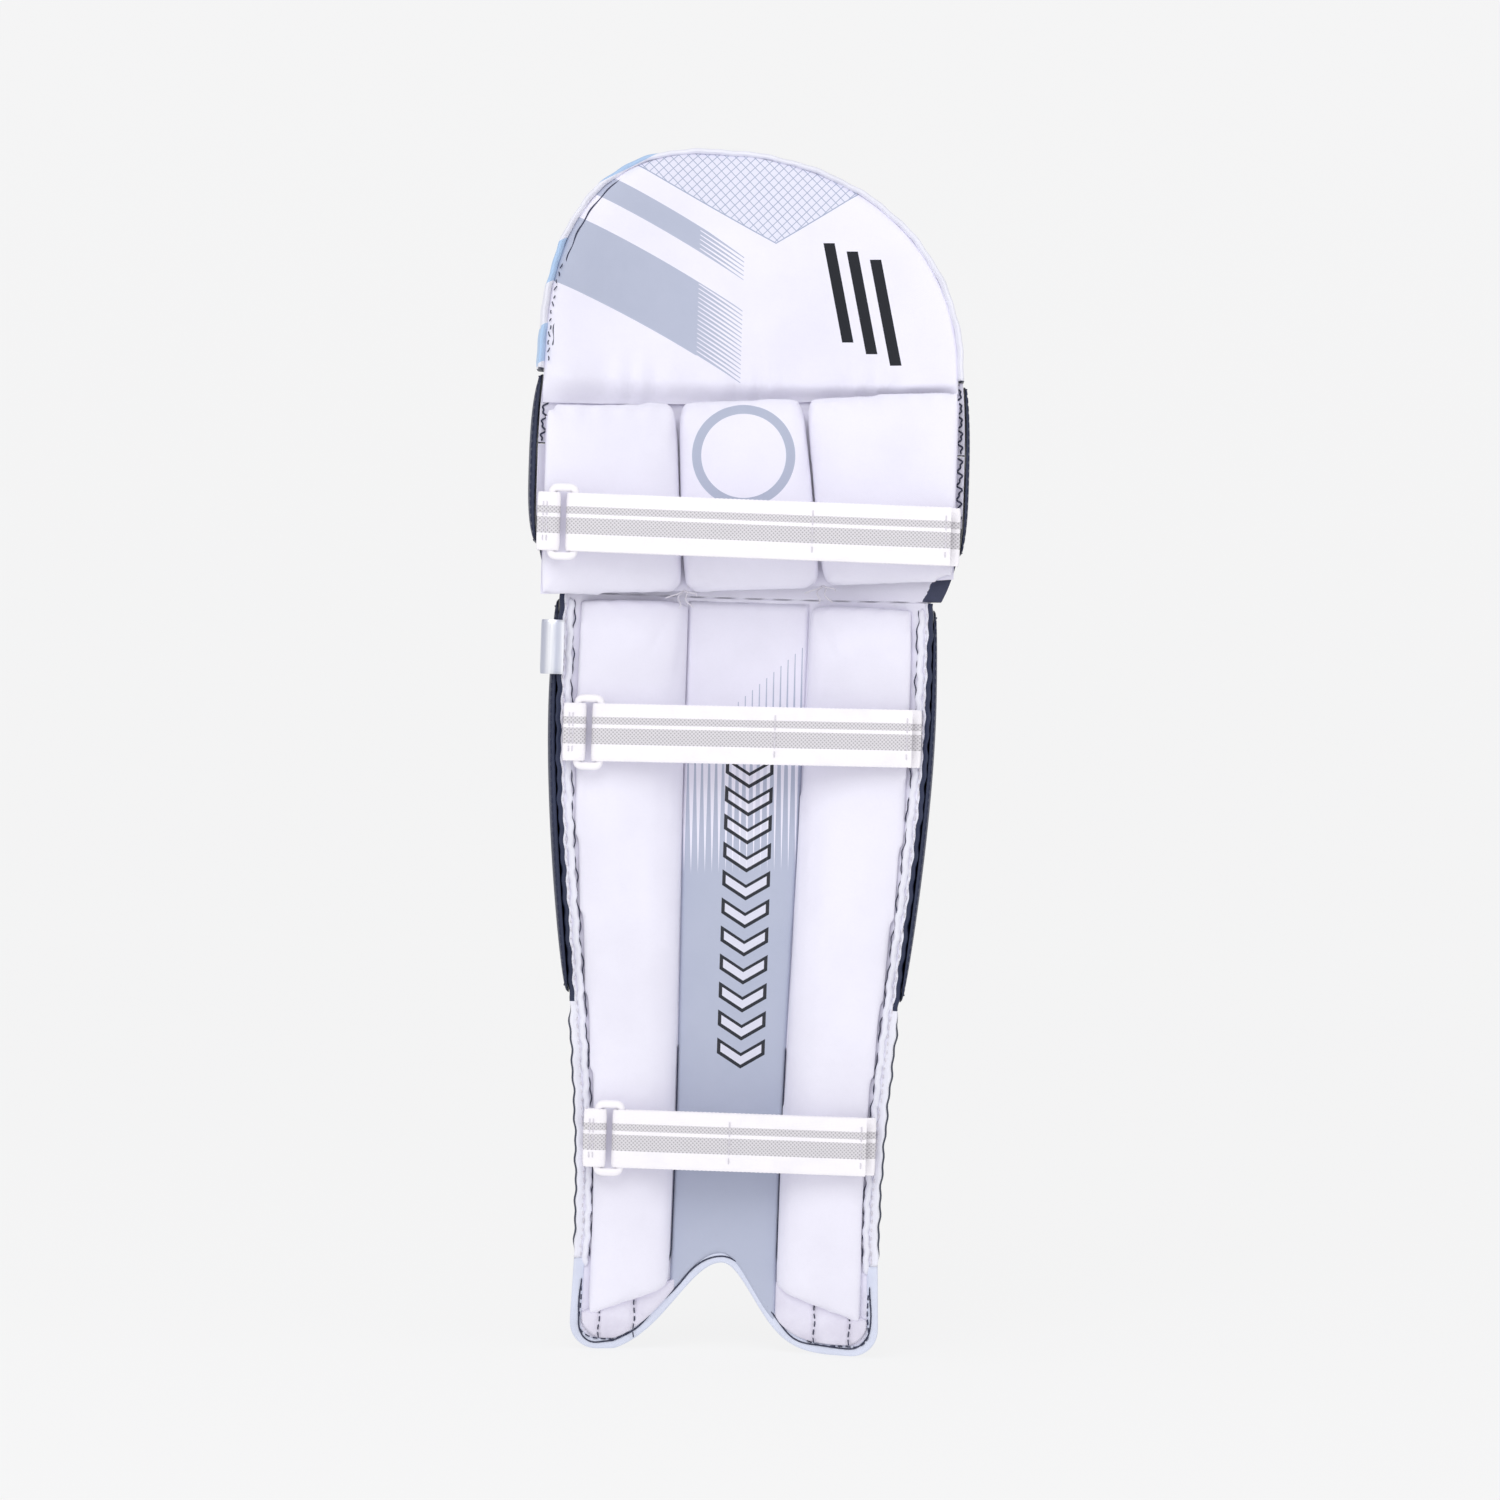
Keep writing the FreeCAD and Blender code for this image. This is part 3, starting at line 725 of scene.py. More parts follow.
def toe_painted_shade(finish):
    """The thicker cloth of the toes, darkened by painted shade in clouds, with more of it towards the ground.
    """
    # Painted shade: a cloudy darkening over the toes, strongest at the ground and gone about 46 mm up.
    shade_cloud = finish.noise(60.0, 4.0).step(0.3, 0.8)
    low = 1.0 - (finish.z * 1000.0).step(4.0, 46.0)
    return [(shade_cloud * 0.3 + 0.35, srgb(214, 209, 226)), (low * shade_cloud * 0.4, srgb(196, 191, 210))]


def web_ink(finish):
    """The navy outer cloth turned over the edges of the knee, low down at each side."""
    x, z = finish.x * 1000.0, finish.z * 1000.0
    edge = (finish.noise(220.0, 2.0) * 3.0 + 104.0) + (z - 456.0) * 0.45
    return [((x.size() > edge) * (z < 500.0) * 0.96, colours().navy)]


def navy_finish():
    """Coated front cloth: a leathery grain of cells, cloudy sheen, and scuffs where it rubs."""
    finish = Finish("navy_coated_cloth", specular_ior_level=0.4, coat_roughness=0.35)
    cells = finish.node(
        "ShaderNodeTexVoronoi", {"feature": "DISTANCE_TO_EDGE"}, {"Vector": finish.place, "Scale": 620.0}
    ).step(0.0, 0.25)
    cloud = finish.noise(22.0, 4.0)
    scuff = finish.noise(160.0, 5.0, rough=0.7).step(0.66, 0.86)
    navy = tuple(colours().navy)
    colour = finish.mix(cloud.step(0.3, 0.8) * 0.6, navy, tuple(0.62 * part for part in navy))
    colour = finish.mix(scuff * 0.3, colour, srgb(108, 116, 140))
    height = cells * 0.8 + finish.noise(60.0, 2.0) * 3.0
    return finish.finish(colour, cloud * 0.2 + scuff * 0.15 + 0.36, height, 0.0002, 0.5)


def binding_finish(name, tint, other=None):
    """Ribbed binding tape: fine ribs over it, with lengths of a second colour where it has one."""
    finish = Finish(name, sheen_weight=0.2, specular_ior_level=0.25)
    ribs = ((finish.x + finish.z) * (2 * math.pi / 0.0009)).sin() * ((finish.z - finish.x) * 4000.0).sin()
    cloud = finish.noise(45.0, 3.0).step(0.3, 0.75)
    colour = finish.mix(cloud * 0.45, tint, tuple(0.84 * part for part in tint))
    if other is not None:
        run = finish.z * 1000.0 - finish.x * 600.0
        patch = ((run / 46.0).part() > 0.52) * (finish.x < -0.02)
        colour = finish.mix(patch, colour, other)
    height = ribs * 0.2 + finish.noise(240.0, 3.0) * 1.3
    return finish.finish(colour, cloud * 0.1 + 0.7, height, 0.00025, 0.6)


def webbing_finish():
    """Elastic webbing: cords along it, and two grey stripes of small diamonds, read from the weave
    attribute, which holds millimetres along and across the strap."""
    tints = colours()
    finish = Finish("white_webbing", sheen_weight=0.15, specular_ior_level=0.25)
    thread = finish.node("ShaderNodeAttribute", {"attribute_name": "weave"}, {}, "Vector")
    split = finish.node("ShaderNodeSeparateXYZ", {}, {0: thread}).socket.node
    run, across = (Wire(finish, split.outputs[k]) for k in range(2))
    stripe = across.between(8.2, 12.6).most(across.between(14.9, 24.6))
    turn = 2 * math.pi / 2.3
    dots = ((run + across) * turn * 0.5).sin() * ((run - across) * turn * 0.5).sin()
    dark = dots.size().step(0.35, 0.75)
    cloud = finish.noise(60.0, 3.0)
    colour = finish.mix(cloud.step(0.4, 0.8) * 0.3, tints.webbing, srgb(232, 228, 238))
    colour = finish.mix(stripe * 0.9, colour, tints.webbing_grey)
    colour = finish.mix(stripe * dark * 0.75, colour, srgb(170, 167, 173))
    colour = finish.mix(stripe * (1.0 - dark) * 0.2, colour, tints.webbing)
    cords = (across * (2 * math.pi / 0.95)).sin() * 0.5 + (run * (2 * math.pi / 0.8)).sin() * 0.35
    height = cords + stripe * (dark * -0.8) + finish.noise(700.0, 2.0) * 0.5
    return finish.finish(colour, cloud * 0.12 + 0.66, height, 0.00012, 0.7)


def plastic_finish():
    """Moulded nylon: a faint flow, a fine bloom and small scratches."""
    finish = Finish("white_nylon", specular_ior_level=0.5, coat_weight=0.15, coat_roughness=0.25)
    flow = finish.noise(90.0, 4.0)
    scratch = finish.noise(1500.0, 2.0).step(0.6, 0.8)
    colour = finish.mix(flow.step(0.4, 0.8) * 0.35, tuple(colours().plastic), srgb(232, 228, 236))
    return finish.finish(colour, flow * 0.12 + scratch * 0.12 + 0.3, flow * 2.0 + scratch * 0.2, 0.0001, 0.4)


def silver_finish():
    """Silver tape: bright metal foil on a weave, brushed up and down, with a few creases, and upright light
    and dark bands across it that are painted reflection and shade.
    """
    finish = Finish("silver_tape", metallic=0.85, specular_ior_level=0.5)
    brushed = finish.noise(1.0, 3.0, finish.node(
        "ShaderNodeMapping", {}, {"Vector": finish.place, "Scale": (900.0, 900.0, 40.0)}))
    crease = finish.noise(140.0, 3.0)
    colour = finish.mix(brushed.step(0.3, 0.7) * 0.35, srgb(247, 248, 253), srgb(196, 199, 212))
    # Painted reflection and shade: light and dark upright bands across the tab's width stand in for a rounded
    # tab's gradient.
    fold = (finish.x * 1000.0 + 114.5) * (2 * math.pi / 8.5)
    colour = finish.mix((fold.sin() * 0.5 + 0.5) * 0.75, colour, srgb(168, 172, 192))
    height = brushed * 0.5 + crease * 1.2 + cloth_weave(finish, 0.0008) * 0.1
    return finish.finish(colour, brushed * 0.15 + 0.24, height, 0.0001, 0.4)


def pile_finish(name, tint, fuzz):
    """Hook or loop pile: a field of tiny tufts, lighter at their tips, with painted shade at their roots."""
    finish = Finish(name, sheen_weight=fuzz, sheen_roughness=0.6)
    tuft = finish.node("ShaderNodeTexVoronoi", {}, {"Vector": finish.place, "Scale": 900.0}).step(0.6, 0.0)
    # Painted shade: the colour darkens from each tuft's tip down to the roots between the tufts.
    colour = finish.mix(tuft * 0.7, tuple(0.72 * part for part in tint), tint)
    return finish.finish(colour, tuft * 0.1 + 0.8, tuft, 0.0004, 0.8)


def thread_finish(name, tint):
    """Twisted sewing thread: slanting plies and a soft sheen."""
    finish = Finish(name, sheen_weight=0.3)
    plies = ((finish.x + finish.z * 1.7 + finish.y) * 9000.0).sin()
    colour = finish.mix(plies * 0.2 + 0.3, tint, tuple(0.6 * part for part in tint))
    return finish.finish(colour, plies * 0.05 + 0.6, plies, 0.0001, 0.5)


def cane_finish():
    """Split cane: long straight grain with darker nodes, worn smooth."""
    finish = Finish("cane", specular_ior_level=0.4)
    grain = finish.noise(1.0, 4.0, finish.node(
        "ShaderNodeMapping", {}, {"Vector": finish.place, "Scale": (1100.0, 1100.0, 16.0)}))
    colour = finish.mix(grain.step(0.3, 0.7), srgb(205, 170, 112), srgb(150, 108, 62))
    colour = finish.mix((finish.noise(45.0, 2.0) > 0.66) * 0.5, colour, srgb(110, 76, 44))
    return finish.finish(colour, grain * 0.2 + 0.42, grain, 0.0003, 0.5)


def stage_finish():
    """Plain pale studio ground that takes hardly any shadow."""
    finish = Finish("studio_ground", specular_ior_level=0.0)
    cloud = finish.noise(1.5, 2.0)
    colour = finish.mix(cloud * 0.3, srgb(96, 96, 97), srgb(92, 92, 93))
    material = finish.finish(colour, 1.0)
    finish.shader.inputs["Emission Color"].default_value = (*srgb(233, 233, 233), 1.0)
    finish.shader.inputs["Emission Strength"].default_value = 1.0
    return material


finishes = {}


def make_finishes():
    """Every finish once, by the name of what it covers."""
    tints = colours()
    pale, white = tuple(tints.pale_blue), srgb(238, 238, 249)
    finishes.update(
        cloth=lining_finish("white_lining_cloth"),
        top_cloth=lining_finish("printed_top_cloth", top_ink),
        panel_cloth=lining_finish("printed_panel_cloth", panel_ink),
        cradle_cloth=lining_finish("printed_cradle_cloth", cradle_ink),
        toe_cloth=lining_finish("toe_cloth", toe_painted_shade),
        web_cloth=lining_finish("knee_web_cloth", web_ink),
        navy=navy_finish(),
        side_binding=binding_finish("white_binding", white),
        instep_binding=binding_finish("lavender_binding", srgb(221, 226, 244)),
        top_binding=binding_finish("banded_binding", white, pale),
        webbing=webbing_finish(),
        plastic=plastic_finish(),
        silver=silver_finish(),
        hook=pile_finish("hook_pile", srgb(226, 224, 232), 0.0),
        loop=pile_finish("loop_pile", srgb(240, 238, 246), 0.6),
        navy_thread=thread_finish("navy_thread", srgb(38, 44, 78)),
        white_thread=thread_finish("white_thread", srgb(244, 240, 250)),
        cane=cane_finish(),
        ground=stage_finish(),
    )


# ---- Shin ------------------------------------------------------------------------------------------
def shin_grid():
    """X and Z over the shin: across by equal shares of the width, up from the outline's low edge."""
    across = np.linspace(-1.0, 1.0, 121)[None, :]
    up = spaced(90, 0.3)[:, None] ** 1.3
    floor = shin_low(across * (TOE_HALF - RIM), RIM)
    z = floor + (SHIN_TOP - floor) * up
    x = across * (shin_half(z) - RIM)
    return x, z


def channel_middle(z):
    """X of the middle of the channel, which leans a little."""
    return -0.0014 + 0.0029 * np.clip((z - 0.052) / 0.391, 0, 1)


def channel_half(z):
    """Half width of the channel between the bolsters, narrower at the ankle."""
    return 0.0312 + 0.0042 * ease(z, 0.10, 0.43)


def piping_path(side, z, inset):
    """A line up one side of the shin, on the lining, a distance in from its edge."""
    x = side * (shin_half(z) - inset)
    return stack(x, leg_y(x), z)


def make_shin_cloth():
    """Lining, front cover, printed panel and toe pads."""
    x, z = shin_grid()
    soft = 0.0004 * np.sin(x * 210.0 + 1.3) * np.sin(z * 60.0)
    lining = shell("shin_lining_cloth", stack(x, leg_y(x) + soft, z), lay(x, z, 0.003),
                   [finishes["cloth"]], sharp=50)
    place(lining, "shin", ["shin_lining"])
    cover = shell("shin_front_cover", lay(x, z, 0.003), lay(x, z, BOARD), [finishes["navy"]], sharp=50)
    place(cover, "shin", ["shin_board"])

    across = np.linspace(0.0, 1.0, 49)[None, :]
    up = spaced(110, 0.3)[:, None]
    wide = -0.0335 + 0.067 * across
    floor = arch(wide) + 0.0052
    z = floor + (SHIN_TOP - 0.002 - floor) * up
    x = channel_middle(z) + (channel_half(z) + 0.001) * (2 * across - 1)
    rise = swell(across, 6.0) * swell(up, 14.0)
    panel = shell("channel_panel", stack(x, leg_y(x) - 0.0004 - 0.0022 * rise, z),
                  lay(x, z, -0.0002), [finishes["panel_cloth"]])
    place(panel, "shin", ["centre_shin_panel"])

    for name, side in (("outer", -1), ("inner", 1)):
        s = spaced(61, 0.5)[None, :]
        t = spaced(33, 0.5)[:, None]
        inner_x, outer_x = CHANNEL - 0.004, TOE_HALF - RIM - 0.0032
        x = side * (inner_x + (outer_x - inner_x) * s)
        low = shin_low(x, RIM + 0.0030)
        share = np.clip((np.abs(x) - CHANNEL) / (BOLSTER_FOOT - CHANNEL), -0.2, 1.25)
        high = np.maximum(0.0415 - 0.0170 * share, low + 0.0012)
        z = low + (high - low) * t
        quilt = 1.0 - 0.45 * np.exp(-(((np.abs(x) - TOE_STITCH_X[0]) / 0.0016) ** 2))
        quilt = quilt - 0.35 * np.exp(-(((np.abs(x) - TOE_STITCH_X[1]) / 0.0014) ** 2))
        rise = swell(s, 3.0) * swell(t, 3.0) * quilt
        toe = shell(f"toe_pad_{name}_cloth", stack(x, leg_y(x) - 0.0003 - 0.0056 * rise, z),
                    lay(x, z, -0.0001), [finishes["toe_cloth"]])
        place(toe, "shin", [f"toe_pad_{name}"])


def binding(name, path, normal, section, materials, navy_from=1.0, flare=0.0, all_navy=1.0):
    """Binding tape: a section of (in-plane offset, lift) carried along an XZ outline round the leg.
    Past the lift navy_from it is the front cloth's edge, which stands out by flare. Above the height
    all_navy only the lip is white."""
    front = (section[:, 1] > navy_from)[None, :] | (
        (path[:-1, 1] > all_navy)[:, None] & (section[:, 0] > -0.0019)[None, :])
    bulge = np.clip((section[:, 1] - navy_from) / 0.0015, 0, 1) * (section[:, 0] > 0)
    offset = section[None, :, 0] + np.reshape(flare, (-1, 1)) * bulge[None, :]
    x = path[:, None, 0] + normal[:, None, 0] * offset
    z = path[:, None, 1] + normal[:, None, 1] * offset
    rings = stack(x, leg_y(x, section[None, :, 1]), z)
    return loft(name, rings, materials, part=front.astype(np.int32) if len(materials) > 1 else None)


def outward(path, inside):
    """Unit normals of an XZ path that point away from a point inside the outline."""
    normal = right_of(path)
    away = np.sign(((path - inside) * normal).sum(1).mean())
    return normal * away


def tape_section(front, back=-0.0017, lip=0.0032):
    """Outline of folded binding: round outside, a lip over the lining, and thin over the front."""
    corners = np.array([
        (-0.00175 - lip, -0.0001), (-0.0016 - lip, 0.6 * back), (-0.0006, back), (0.0013, 0.75 * back),
        (0.00175, 0.0015), (0.00175, front - 0.001), (0.0011, front + 0.0013), (-0.0012, front + 0.0013),
        (-0.00175, front - 0.001), (-0.00175, 0.0012),
    ])
    return rounded(corners)


def toe_outline():
    """The lower outline, from the outer side at the binding's join, round both toes, to the inner."""
    half = 0.5 * RIM
    z = np.linspace(TAPE_JOIN_Z, TOE_CORNER + half, 12)
    left = np.stack([-(shin_half(z) - half), z], -1)
    turn = np.linspace(0, 0.5 * math.pi, 14)[1:]
    middle = TOE_HALF - half - TOE_CORNER
    bend = np.stack([-(middle + TOE_CORNER * np.cos(turn)), half + TOE_CORNER * (1 - np.sin(turn))], -1)
    x = np.linspace(-middle, middle, 120)[1:-1]
    sole = np.stack([x, half + arch(x)], -1)
    right = np.concatenate([left, bend])[::-1] * np.array([-1.0, 1.0])
    return np.concatenate([left, bend, sole, right])


def make_bindings():
    """Binding round the toes and arch and up both sides, and the corded piping inside the sides."""
    path, _ = along(toe_outline(), step=0.0022)
    normal = right_of(path)
    kernel = np.ones(5) / 5
    normal = np.stack([np.convolve(np.pad(normal[:, k], 2, "edge"), kernel, "valid") for k in (0, 1)], -1)
    normal *= -np.sign(normal[len(normal) // 2, 1])
    toe = binding("instep_binding_tape", path, normal, tape_section(BOARD), [finishes["instep_binding"]])
    place(toe, "shin", ["instep_binding"])
    for name, side in (("outer", -1), ("inner", 1)):
        z = np.linspace(TAPE_JOIN_Z, SHIN_TOP, 190)
        ripple = 0.00035 * np.sin(z * 520.0 + side) + 0.0003 * np.sin(z * 233.0)
        path = np.stack([side * (shin_half(z) - 0.5 * RIM + ripple), z], -1)
        normal = np.stack([np.full(len(z), float(side)), np.zeros(len(z))], -1)
        flare = 0.0014 * (1 - ease(z, 0.195, 0.212)) * ease(z, 0.056, 0.070)
        tape = binding(f"{name}_side_tape", path, normal, tape_section(BOARD, lip=0.0012),
                       [finishes["side_binding"], finishes["navy"]], navy_from=0.0045, flare=flare,
                       all_navy=0.208)
        place(tape, "shin", [f"{name}_side_binding"])
        z = np.linspace(0.050, SHIN_TOP - 0.003, 260)
        wander = 0.0004 * np.sin(z * 330.0 + 2.0 * side) + 0.0003 * np.sin(z * 761.0)
        path = piping_path(side, z, 0.0068 + wander)
        path[:, 1] -= 0.0007
        cord = tube(f"{name}_piping", path, sizes().piping, finishes["side_binding"], around=12)
        place(cord, "shin")


def make_bolsters():
    """The two long cushions beside the shin, blown up as cloth and sewn down round their edges."""
    far_x = CALF_HALF - BOLSTER_RIM
    back_face = back_arc(CHANNEL, leg_y(CHANNEL) - 0.022, far_x, leg_y(far_x) - 0.008)
    for name, side in (("outer", -1), ("inner", 1)):
        s = spaced(45, 0.7)[None, :]
        t = spaced(150, 0.6)[:, None]
        floor = 0.0370 - 0.0170 * s
        z = floor + (SHIN_TOP - 0.0015 - floor) * t
        near = side * channel_middle(z) + channel_half(z) + 0.0006
        far = shin_half(z) - BOLSTER_RIM - 0.0004
        corner = 0.0035 * (1 - swell(t, 9.0))
        across = near + corner + (far - near - 2 * corner) * s
        x = side * across
        rise = swell(s, 3.2) * swell(t, 9.0)
        depth = leg_y(x) - back_face(np.abs(x))
        back = stack(x, leg_y(x) - 0.0004 - depth * (0.80 * rise), z)
        front = stack(x, leg_y(x) - 0.0002, z)
        pad = shell(f"shin_bolster_{name}_cushion", back, front, [finishes["cloth"]])
        inflate(pad, lambda p: p[:, 1] > leg_y(p[:, 0]) - 0.0040)
        points = read_points(pad.data)
        across = np.abs(points[:, 0])
        z = points[:, 2]
        points[:, 1] = np.minimum(points[:, 1], leg_y(points[:, 0]) - 0.0002)
        limit = back_face(across) - 0.0012
        points[:, 1] = np.maximum(points[:, 1], limit)
        for strap in ("calf", "ankle"):
            press_strap(points, strap)
        sag = 0.0006 * np.sin(z * 46.0 + side) * np.sin(across * 80.0)
        points[:, 1] += np.where(points[:, 1] < leg_y(points[:, 0]) - 0.004, sag, 0.0)
        write_points(pad.data, points)
        wear(pad, finishes["cloth"])
        place(pad, "shin", [f"shin_bolster_{name}"])


def press_strap(points, strap):
    """Keeps a cushion off the strap that crosses it: a soft dent as deep as the strap needs."""
    low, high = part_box(f"{strap}_strap_band")
    middle, half = 0.5 * (low.z + high.z), 0.5 * (high.z - low.z)
    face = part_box(f"{strap}_buckle")[0].y + 2 * BUCKLE_BAR + 0.0020
    near = np.exp(-(np.clip(np.abs(points[:, 2] - middle) - half - 0.001, 0, None) / 0.006) ** 2)
    over = np.maximum(face + 0.0010 - points[:, 1], 0.0)
    points[:, 1] += over * near


def make_ribs():
    """Seven padded ribs up the front: D-shaped sections with domed ends, their canes inside."""
    count, gap, standoff = 7, 0.0006, 0.005
    axis_radius = WRAP + BOARD + standoff

    def rib_radius(half):
        return axis_radius * math.asin((half - RIM) / (axis_radius + standoff)) / count - 0.5 * gap

    low_radius, high_radius = rib_radius(ANKLE_HALF), rib_radius(CALF_HALF)
    turn = np.linspace(0, 2 * math.pi, 40, endpoint=False)[None, :]
    top = SHIN_TOP - 0.0025
    for i in range(count):
        place_number = i - 0.5 * (count - 1)
        foot = 0.030 if abs(place_number) > 1.5 else 0.070
        foot_radius = low_radius + (high_radius - low_radius) * (foot - 0.030) / (top - 0.030)
        share = spaced(90, 0.7)[:, None]
        ends = []
        for z, radius in ((foot, foot_radius), (top, high_radius)):
            angle = place_number * (2 * radius + gap) / axis_radius
            ends.append(np.array([axis_radius * math.sin(angle), axis_radius * math.cos(angle) - WRAP, z]))
        middle = ends[0] + (ends[1] - ends[0]) * share[..., None]
        radius = (foot_radius + (high_radius - foot_radius) * share) - 0.0002
        dome = 0.011
        length = top - foot
        from_end = np.minimum(share, 1 - share) * length
        round_off = np.sqrt(np.clip(1 - ((dome - np.minimum(from_end, dome)) / dome) ** 2, 0.0, 1.0))
        radius = radius * (0.12 + 0.88 * round_off)
        quilt = 1.0 + 0.012 * np.sin(share * length * 2 * math.pi / 0.075)
        x0, y0 = middle[..., 0], middle[..., 1]
        aim = np.arctan2(x0, y0 + WRAP)
        side = radius * np.cos(turn)
        out = radius * np.sin(turn) * quilt
        out = np.maximum(out, WRAP + BOARD - axis_radius)
        x = x0 + side * np.cos(aim) + out * np.sin(aim)
        y = y0 + out * np.cos(aim) - side * np.sin(aim)
        deep = np.hypot(x, y + WRAP)
        push = np.maximum(WRAP + BOARD + 0.0001 - deep, 0.0) / deep
        x, y = x + x * push, y + (y + WRAP) * push
        rib = loft(f"front_rib_{i + 1}", stack(x, y, middle[..., 2]), [finishes["navy"]], sharp=60)
        place(rib, "shin", [f"shin_rib_{i + 1}"])

        share = np.linspace(0.013 / length, 1 - 0.013 / length, 40)[:, None]
        rod = ends[0] + (ends[1] - ends[0]) * share
        knots = 1.0 + 0.05 * np.exp(-(((share * length % 0.085) - 0.04) / 0.003) ** 2)
        ring = np.stack([np.cos(turn[0]), np.sin(turn[0]), np.zeros(40)], -1)
        cane = loft(f"rib_cane_{i + 1}", rod[:, None] + 0.0038 * knots[..., None] * ring[None],
                    [finishes["cane"]], sharp=60)
        place(cane, "shin", ["rib_canes"])


def side_plate(name, half, side, gap, thick, z_low, z_high, y_low, y_high, body, node):
    """A padded flap that follows one side: two skins that swell between its piped edges."""
    s = spaced(35, 0.6)[None, :]
    t = spaced(80, 0.5)[:, None]
    z = z_low + (z_high - z_low) * t
    corner = 0.006 * (1 - swell(s, 5.0))
    z = z + (0.5 - t) * 2 * corner
    y = y_low + (y_high - y_low) * s
    y = y + (0.5 - s) * 2 * 0.007 * (1 - swell(t, 7.0))
    rise = swell(s, 3.0) * swell(t, 2.6)
    ridge = 1.0 - 0.30 * np.exp(-(((s - 0.5) * (y_high - y_low) / 0.0013) ** 2))
    inner = half(z) + gap
    near = side * (inner + 0.04 * thick * rise)
    far = side * (inner + 0.98 * thick * rise * ridge)
    flap = shell(name, stack(near, y, z), stack(far, y, z), [finishes["navy"]])
    place(flap, body, [node])
    ring_s = np.concatenate([np.linspace(0.03, 0.97, 30), np.full(60, 0.97), np.linspace(0.97, 0.03, 30),
                             np.full(60, 0.03)])
    ring_t = np.concatenate([np.full(30, 0.02), np.linspace(0.02, 0.98, 60), np.full(30, 0.98),
                             np.linspace(0.98, 0.02, 60)])
    z = z_low + (z_high - z_low) * ring_t
    y = y_low + (y_high - y_low) * ring_s + (0.5 - ring_s) * 2 * 0.007 * (1 - swell(ring_t, 7.0))
    lift = 0.98 * thick * swell(ring_s, 3.0) * swell(ring_t, 2.6)
    x = side * (half(z) + gap + lift + 0.0001)
    sew(f"{name}_stitches", [np.stack([x, y, z], -1)], "navy_thread", body)


def make_shin_sides():
    """The two shin wings and the folded silver tab in the outer edge."""
    for name, side, thick in (("outer", -1, 0.0050), ("inner", 1, 0.0038)):
        side_plate(f"{name}_shin_flap", shin_half, side, 0.0005, thick, 0.215, SHIN_TOP - 0.0035,
                   -0.0335, 0.002, f"{name}_wing", f"{name}_shin_wing")
        t = np.linspace(0, 1, 60)[:, None]
        s = np.linspace(0, 1, 13)[None, :]
        z = 0.222 + (SHIN_TOP - 0.010 - 0.222) * t
        x = side * (shin_half(z) - 0.0075 + 0.0100 * s)
        y = 0.0016 - 0.0035 * (1 - s) ** 2 + 0.0005 * np.sin(z * 300.0) * s * (1 - s)
        hinge = shell(f"{name}_wing_hinge_cloth", stack(x, y - 0.0005, z), stack(x, y + 0.0004, z),
                      [finishes["navy"]], sharp=60)
        low_x, high_x = side * shin_half(0.225), side * shin_half(0.445)
        across = np.array([0.220, 0.0, low_x - high_x]) * side
        across = across / np.linalg.norm(across) * 0.004
        at = np.array([0.5 * (low_x + high_x), 0.0, 0.335])
        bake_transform(hinge)
    low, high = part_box("side_tab")
    thick, wall = high.y - low.y, 0.0009
    half = 0.5 * thick - 0.5 * wall
    middle = 0.5 * (low.y + high.y)
    bend_x = low.x + 0.5 * thick
    turn = np.linspace(0.5 * math.pi, 1.5 * math.pi, 24)
    arc = np.stack([bend_x + half * np.cos(turn), middle + half * np.sin(turn)], -1)
    root = high.x - 0.0002
    puff = np.linspace(0, 1, 24)
    bow = 0.0012 * np.sin(math.pi * puff)
    near = np.stack([root + (bend_x - root) * puff, middle + half + bow], -1)
    far = np.stack([bend_x + (root - bend_x) * puff, middle - half - bow], -1)
    path = np.concatenate([near[:-1], arc, far[1:]])
    tab = ribbon("side_tab_tape", path, 0.5 * (low.z + high.z), 0.5 * (high.z - low.z), 0.5 * wall,
                 finishes["silver"], scallop=0.0)
    place(tab, "tab", ["side_tab"])


# ---- Webbing ---------------------------------------------------------------------------------------
def ribbon(name, path, middle, half_width, half_thick, material, scallop=0.00022, lean=0.0):
    """Flat webbing: a thin rounded section, upright, carried along an XY path. Its edges are
    scalloped by a sine, and it leans by lean metres for each metre of X."""
    fine, reach = along(path, step=0.0007)
    normal = -right_of(fine)
    up = np.sin(np.linspace(-0.5 * math.pi, 0.5 * math.pi, 15))
    across = np.concatenate([up, up[-2:0:-1]])
    face = np.concatenate([np.ones(15), -np.ones(13)])
    bulge = (1 - np.abs(across) ** 10) ** 0.5
    width = half_width - scallop * (0.5 + 0.5 * np.sin(reach * 2 * math.pi / 0.0026))
    z = middle + width[:, None] * across[None, :] + lean * fine[:, None, 0]
    offset = half_thick * (face * bulge)[None, :]
    x = fine[:, None, 0] + normal[:, None, 0] * offset
    y = fine[:, None, 1] + normal[:, None, 1] * offset
    rings = stack(x, y, z)
    run = np.broadcast_to(reach[:, None] / MM, x.shape)
    cross = np.broadcast_to(((1 - across) * half_width)[None, :] / MM, x.shape)
    weave = np.stack([run, cross, np.zeros_like(cross)], -1)
    return loft(name, rings, [material], weave=weave, sharp=70)


def bend_arc(x, y, radius, begin, end, count=20):
    """Points of an arc in XY about a bar, between two angles in degrees."""
    turn = np.radians(np.linspace(begin, end, count))
    return np.stack([x + radius * np.cos(turn), y + radius * np.sin(turn)], -1)


